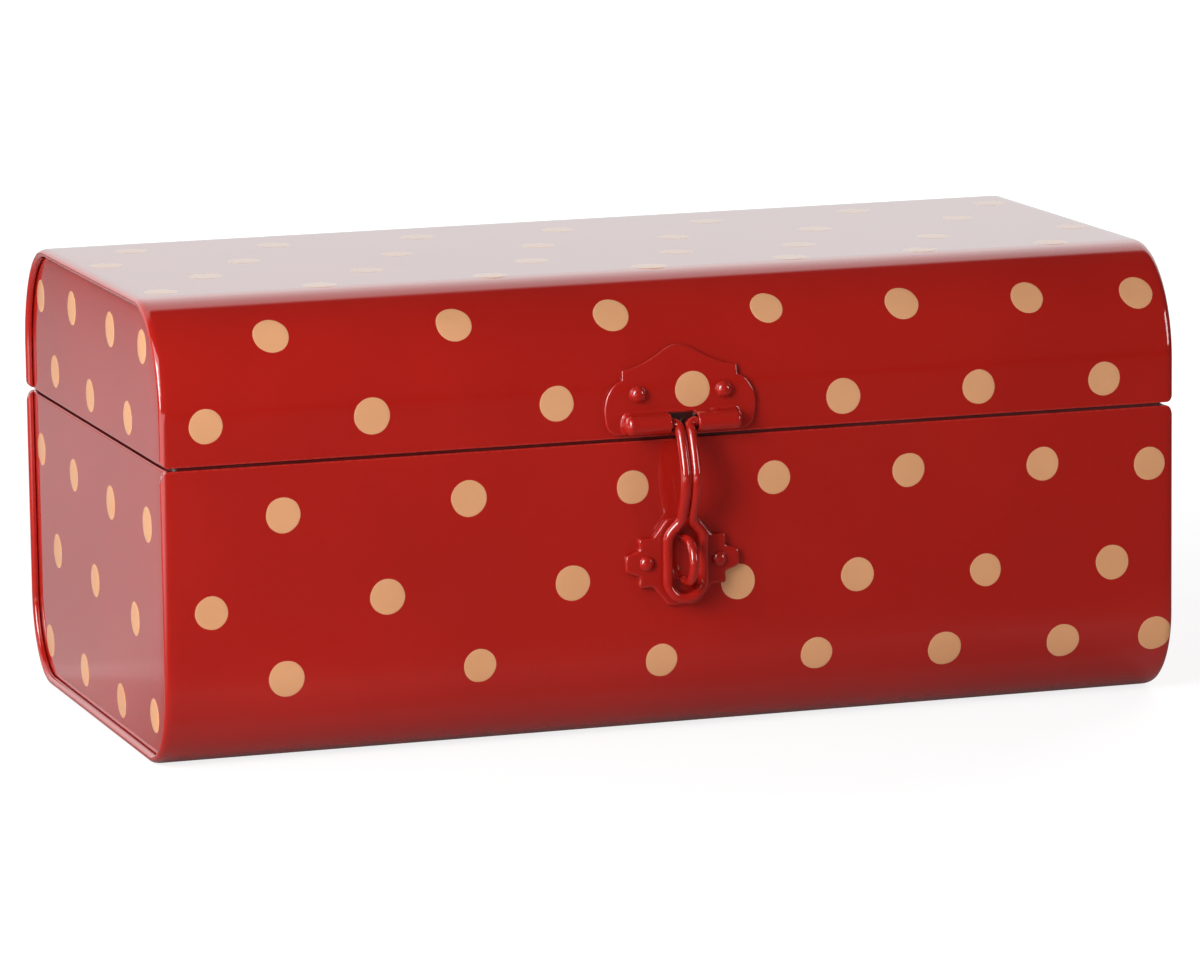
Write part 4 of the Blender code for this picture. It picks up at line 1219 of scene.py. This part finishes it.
def along_route(points, axis, place):
    """Length along the route at which it first passes a place on an axis."""
    length = 0.0
    for before, after in zip(points, points[1:]):
        span = after[axis] - before[axis]
        share = (place - before[axis]) / span if abs(span) > MERGE / 10 else -1.0
        if 0.0 <= share <= 1.0:
            return length + share * (after - before).length
        length += (after - before).length
    return length


def painted_dots(name, body, slot, flat, points, across, tree, material, rim=1.0):
    """Dots at flat places (x, length along the route), laid on the route that the points make."""
    route = line_object(name + "_route", points)
    mesh = bpy.data.meshes.new(name)
    mesh.from_pydata([(x, s, 0.0) for x, s in flat], [], [])
    places = placed(name, mesh)
    values = {"Route": route, "Across": across, "Rim place": rim, "Finish": material, "Seed": len(name)}
    piece = run_tree(places, tree, values)
    discard(route)
    shape = to_bmesh(piece)
    bmesh.ops.solidify(shape, geom=shape.faces, thickness=DOT_THICKNESS)
    return finished(from_bmesh(name, shape, closed=False), material, body, slot)


def make_dots(materials):
    """The polka dots of the wraps, the end panels and the hasp plate."""
    tree = make_dot_tree()
    paint = materials["dots"]
    plans = (
        ("lid", LID_EDGE, CASE_HEIGHT, LID_CORNER, LID_FRONT_DOTS, LID_TOP_DOTS, LID_END_DOTS),
        ("body", BODY_EDGE, 0.0, BODY_CORNER, BODY_FRONT_DOTS, (), BODY_END_DOTS),
    )
    for name, edge, end, corner, front_dots, top_dots, end_dots in plans:
        slot = name + "_enamel"
        turned = -math.copysign(1, end - edge)
        points = [Vector((0, point.x, point.y)) for point, inward, full in all_stations(edge, end, corner)]
        total = sum((b - a).length for a, b in zip(points, points[1:]))
        flat = []
        for x, z in front_dots:
            along = along_route(points, 2, z * MM)
            flat.append((turned * x * MM, along))
            flat.append((turned * (BACK_SHIFT - x) * MM, total - along))
        for x, y in top_dots:
            flat.append((turned * x * MM, along_route(points, 1, y * MM)))
        across = (turned, 0.0, 0.0)
        rim = END - HEM_SWEEP - SHEET / 2
        painted_dots(name + "_dots", name, slot, flat, points, across, tree, paint, rim)
        for label, side in (("left", -1), ("right", 1)):
            points = [Vector((side * PANEL_FACE, 0, 0)), Vector((side * PANEL_FACE, 0, CASE_HEIGHT))]
            flat = [(-side * y * MM, z * MM) for y, z in end_dots]
            across = (0.0, -float(side), 0.0)
            title = "%s_%s_end_dots" % (name, label)
            made = painted_dots(title, name, slot, flat, points, across, tree, paint)
            for vertex in made.data.vertices:
                vertex.co.x += side * panel_crown(vertex.co.y, vertex.co.z, edge, end)
    points = [Vector((0, PLATE_FACE, LID_EDGE)), Vector((0, PLATE_FACE, CASE_HEIGHT - LID_CORNER[1]))]
    for step in range(1, 20):
        z = CASE_HEIGHT - LID_CORNER[1] + MM * step
        points.append(Vector((0, PLATE_FACE + lid_drop(z), z)))
    x, z = HASP_DOT
    across = (-1.0, 0.0, 0.0)
    flat = [(-x * MM, z * MM - LID_EDGE)]
    painted_dots("hasp_plate_dot", "lid", "fittings_enamel", flat, points, across, tree, paint)


# Camera, from the photograph: a long lens to the left of the front and a little above it
CAMERA_AZIMUTH = math.radians(-18.268)
CAMERA_ELEVATION = math.radians(9.771)
CAMERA_ROLL = math.radians(-0.736)
CAMERA_DISTANCE = 1.945951
CAMERA_ASIDE = -0.002198
CAMERA_RAISED = 0.004359
CAMERA_LENS = 200.18
SENSOR_WIDTH = 36.0


def make_camera():
    """The camera at the photograph's viewing angle."""
    back = Vector((
        math.sin(CAMERA_AZIMUTH) * math.cos(CAMERA_ELEVATION),
        -math.cos(CAMERA_AZIMUTH) * math.cos(CAMERA_ELEVATION),
        math.sin(CAMERA_ELEVATION),
    ))
    right = Vector((math.cos(CAMERA_AZIMUTH), math.sin(CAMERA_AZIMUTH), 0))
    up = back.cross(right)
    turned_right = math.cos(CAMERA_ROLL) * right + math.sin(CAMERA_ROLL) * up
    turned_up = back.cross(turned_right)
    place = CAMERA_DISTANCE * back - CAMERA_ASIDE * right - CAMERA_RAISED * up
    place.z += CASE_HEIGHT / 2
    data = bpy.data.cameras.new("camera")
    data.lens = CAMERA_LENS
    data.sensor_width = SENSOR_WIDTH
    data.clip_start = 0.05
    data.clip_end = 50
    camera = placed("camera", data)
    turn = Matrix((turned_right, turned_up, back)).transposed()
    camera.matrix_world = Matrix.Translation(place) @ turn.to_4x4()
    bpy.context.scene.camera = camera


def make_window(name, azimuth, elevation, distance, width, height, power, mirrored):
    """A soft window-shaped lamp that looks at the case, and is mirrored in its gloss or not."""
    data = bpy.data.lights.new(name, "AREA")
    data.shape = "RECTANGLE"
    data.size = width
    data.size_y = height
    data.energy = power
    lamp = placed(name, data)
    a, e = math.radians(azimuth), math.radians(elevation)
    back = Vector((math.sin(a) * math.cos(e), -math.cos(a) * math.cos(e), math.sin(e)))
    lamp.location = distance * back + Vector((0, 0, CASE_HEIGHT / 2))
    lamp.rotation_mode = "QUATERNION"
    lamp.rotation_quaternion = back.to_track_quat("Z", "Y")
    lamp.visible_camera = False
    lamp.visible_glossy = mirrored


# Backdrop in the gloss: its brightness, and by direction where it starts at the side and ends at the top
BACKDROP_LEVEL = 0.82
BACKDROP_GLOW = 0.36
BACKDROP_TILT = 0.5
BACKDROP_PIVOT = 0.31
BACKDROP_SIDE = (0.05, 0.35)
BACKDROP_TOP = (0.86, 0.80)
BACKDROP_RISE = (0.15, 0.45)
BACKDROP_FADE = (0.55, 0.85, 1.0, 0.75)
DARK_LEVEL = 0.035
AMBIENT_LEVEL = 0.07

# Floor: its size, what it shows the camera, and how bright it is by place for mirrored and scattered light
FLOOR_SIZE = 12.0
FLOOR_DROP = 0.0002
FLOOR_WHITE = 1.16
FLOOR_SHARE = 0.7
FLOOR_GREY = 0.9
SHADOW_REACH = (0.30, 0.75)
FLOOR_AHEAD = (-0.24, -0.13, 0.05, 0.17)
FLOOR_BEHIND = (-0.09, 0.06, 0.0, 0.29)
FLOOR_FAR = (0.15, 0.6, 0.0, 0.10)
FLOOR_LEFT = (-0.145, -0.155)
FLOOR_SLANT = 1.8
BOUNCE_LEVEL = 0.6
WINDOW_GLOW = 1.6
WINDOW_ASIDE = (-0.20, -0.42)
WINDOW_AHEAD = (-0.05, -0.25)
SOFT_GLOW = 0.10
SOFT_REACH = (0.45, 0.25)
CONTACT_GLOW = 0.045
CONTACT_EDGE = (0.090, 0.080)

# Lamps: name, degrees round from the front and up, distance, width, height, watts, and if the gloss shows it
WINDOWS = (
    ("window_core", -53, 18, 1.15, 0.30, 0.64, 8.3, True),
    ("window_curtain", -52, 30, 1.2, 0.90, 0.80, 6.0, True),
    ("side_window", -100, 12, 1.3, 0.80, 0.80, 6.8, False),
    ("rear_window", 135, 30, 1.4, 0.80, 0.80, 11.0, False),
    ("fill_window", 48, 14, 1.2, 0.22, 0.45, 1.9, True),
)


def make_world():
    """White to the camera, a plain soft light on the case, and a white backdrop behind it in its gloss."""
    world = bpy.data.worlds.new("studio")
    bpy.context.scene.world = world
    world.use_nodes = True
    tree = world.node_tree
    tree.nodes.clear()
    path = put(tree, "ShaderNodeLightPath")
    way = put(tree, "ShaderNodeSeparateXYZ", {0: put(tree, "ShaderNodeTexCoord").outputs["Generated"]})
    behind = mapped(tree, way.outputs[1], *BACKDROP_SIDE)
    high = maths(tree, "ADD", way.outputs[2], maths(tree, "MULTIPLY", way.outputs[0], BACKDROP_TILT))
    below = mapped(tree, maths(tree, "SUBTRACT", high, BACKDROP_TILT * BACKDROP_PIVOT), *BACKDROP_TOP)
    glow = mapped(tree, way.outputs[2], *BACKDROP_RISE, BACKDROP_LEVEL, BACKDROP_LEVEL + BACKDROP_GLOW)
    glow = maths(tree, "MULTIPLY", glow, mapped(tree, way.outputs[2], *BACKDROP_FADE))
    gloss = maths(tree, "ADD", maths(tree, "MULTIPLY", behind, below, glow), DARK_LEVEL)
    shiny = maths(tree, "MAXIMUM", path.outputs["Is Glossy Ray"], path.outputs["Is Transmission Ray"])
    level = maths(tree, "ADD", maths(tree, "MULTIPLY", shiny, gloss), maths(
        tree, "MULTIPLY", maths(tree, "SUBTRACT", 1.0, shiny), AMBIENT_LEVEL))
    level = maths(tree, "MAXIMUM", level, path.outputs["Is Camera Ray"])
    light = put(tree, "ShaderNodeBackground", {"Color": WHITE, "Strength": level})
    surface = put(tree, "ShaderNodeOutputWorld", {"Surface": light.outputs[0]})
    surface.is_active_output = True


def make_floor():
    """A plain pale floor, white to the camera but for the case's shadow."""
    shape = bmesh.new()
    bmesh.ops.create_grid(shape, x_segments=8, y_segments=8, size=FLOOR_SIZE / 2)
    bmesh.ops.translate(shape, vec=(0, 0, -FLOOR_DROP), verts=shape.verts)
    floor = from_bmesh("floor", shape, closed=False)
    material = bpy.data.materials.new("floor")
    material.use_nodes = True
    tree = material.node_tree
    tree.nodes.clear()
    path = put(tree, "ShaderNodeLightPath").outputs
    spot = put(tree, "ShaderNodeTexCoord").outputs["Object"]
    x, y = put(tree, "ShaderNodeSeparateXYZ", {0: spot}).outputs[:2]
    away = put(tree, "ShaderNodeVectorMath", {0: spot}, operation="LENGTH").outputs["Value"]
    near = mapped(tree, y, *FLOOR_AHEAD)
    aside = maths(tree, "MULTIPLY", maths(tree, "ADD", x, END), FLOOR_SLANT)
    aside = maths(tree, "MINIMUM", aside, 0.0)
    behind = mapped(tree, maths(tree, "ADD", y, aside), *FLOOR_BEHIND)
    behind = maths(tree, "ADD", behind, mapped(tree, y, *FLOOR_FAR))
    behind = maths(tree, "MULTIPLY", behind, mapped(tree, x, *FLOOR_LEFT))
    mirrored = maths(tree, "MULTIPLY", maths(tree, "ADD", near, behind), path["Is Glossy Ray"])
    bounced = maths(tree, "MULTIPLY", maths(tree, "SUBTRACT", 1.0, path["Is Glossy Ray"]), BOUNCE_LEVEL)
    unseen = maths(tree, "ADD", mirrored, bounced)
    grey = maths(tree, "MAXIMUM", unseen, maths(tree, "MULTIPLY", path["Is Camera Ray"], FLOOR_GREY))
    colour = put(tree, "ShaderNodeCombineXYZ", {0: grey, 1: grey, 2: grey}).outputs[0]
    matt = put(tree, "ShaderNodeBsdfDiffuse", {"Color": colour}).outputs[0]
    share = mapped(tree, away, *SHADOW_REACH, FLOOR_SHARE, 1.0)
    share = maths(tree, "MULTIPLY", path["Is Camera Ray"], share)
    white = put(tree, "ShaderNodeEmission", {"Color": WHITE, "Strength": FLOOR_WHITE}).outputs[0]
    mixed = put(tree, "ShaderNodeMixShader", {0: share, 1: matt, 2: white}).outputs[0]
    beside = mapped(tree, x, *WINDOW_ASIDE, 0.0, WINDOW_GLOW)
    beside = maths(tree, "MULTIPLY", beside, mapped(tree, y, *WINDOW_AHEAD))
    under = mapped(tree, maths(tree, "ABSOLUTE", y), *CONTACT_EDGE, 0.0, CONTACT_GLOW)
    shining = maths(tree, "MULTIPLY", maths(tree, "ADD", beside, under), path["Is Glossy Ray"])
    soft = maths(tree, "MULTIPLY", mapped(tree, away, *SOFT_REACH, 0.0, SOFT_GLOW), path["Is Diffuse Ray"])
    strength = maths(tree, "ADD", shining, soft)
    glow = put(tree, "ShaderNodeEmission", {"Color": WHITE, "Strength": strength}).outputs[0]
    mixed = put(tree, "ShaderNodeAddShader", {0: mixed, 1: glow}).outputs[0]
    put(tree, "ShaderNodeOutputMaterial", {"Surface": mixed})
    floor.data.materials.append(material)


def main():
    """Dresses the frame and sets the studio round it."""
    bpy.context.scene.view_settings.view_transform = "Standard"
    materials = make_materials()
    make_case_sheets(materials)
    make_mouth_lip(materials)
    make_wires(materials)
    make_rivets(materials)
    make_keeper(materials)
    make_hasp(materials)
    make_hinges(materials)
    make_dots(materials)
    make_floor()
    make_world()
    for window in WINDOWS:
        make_window(*window)
    make_camera()


main()
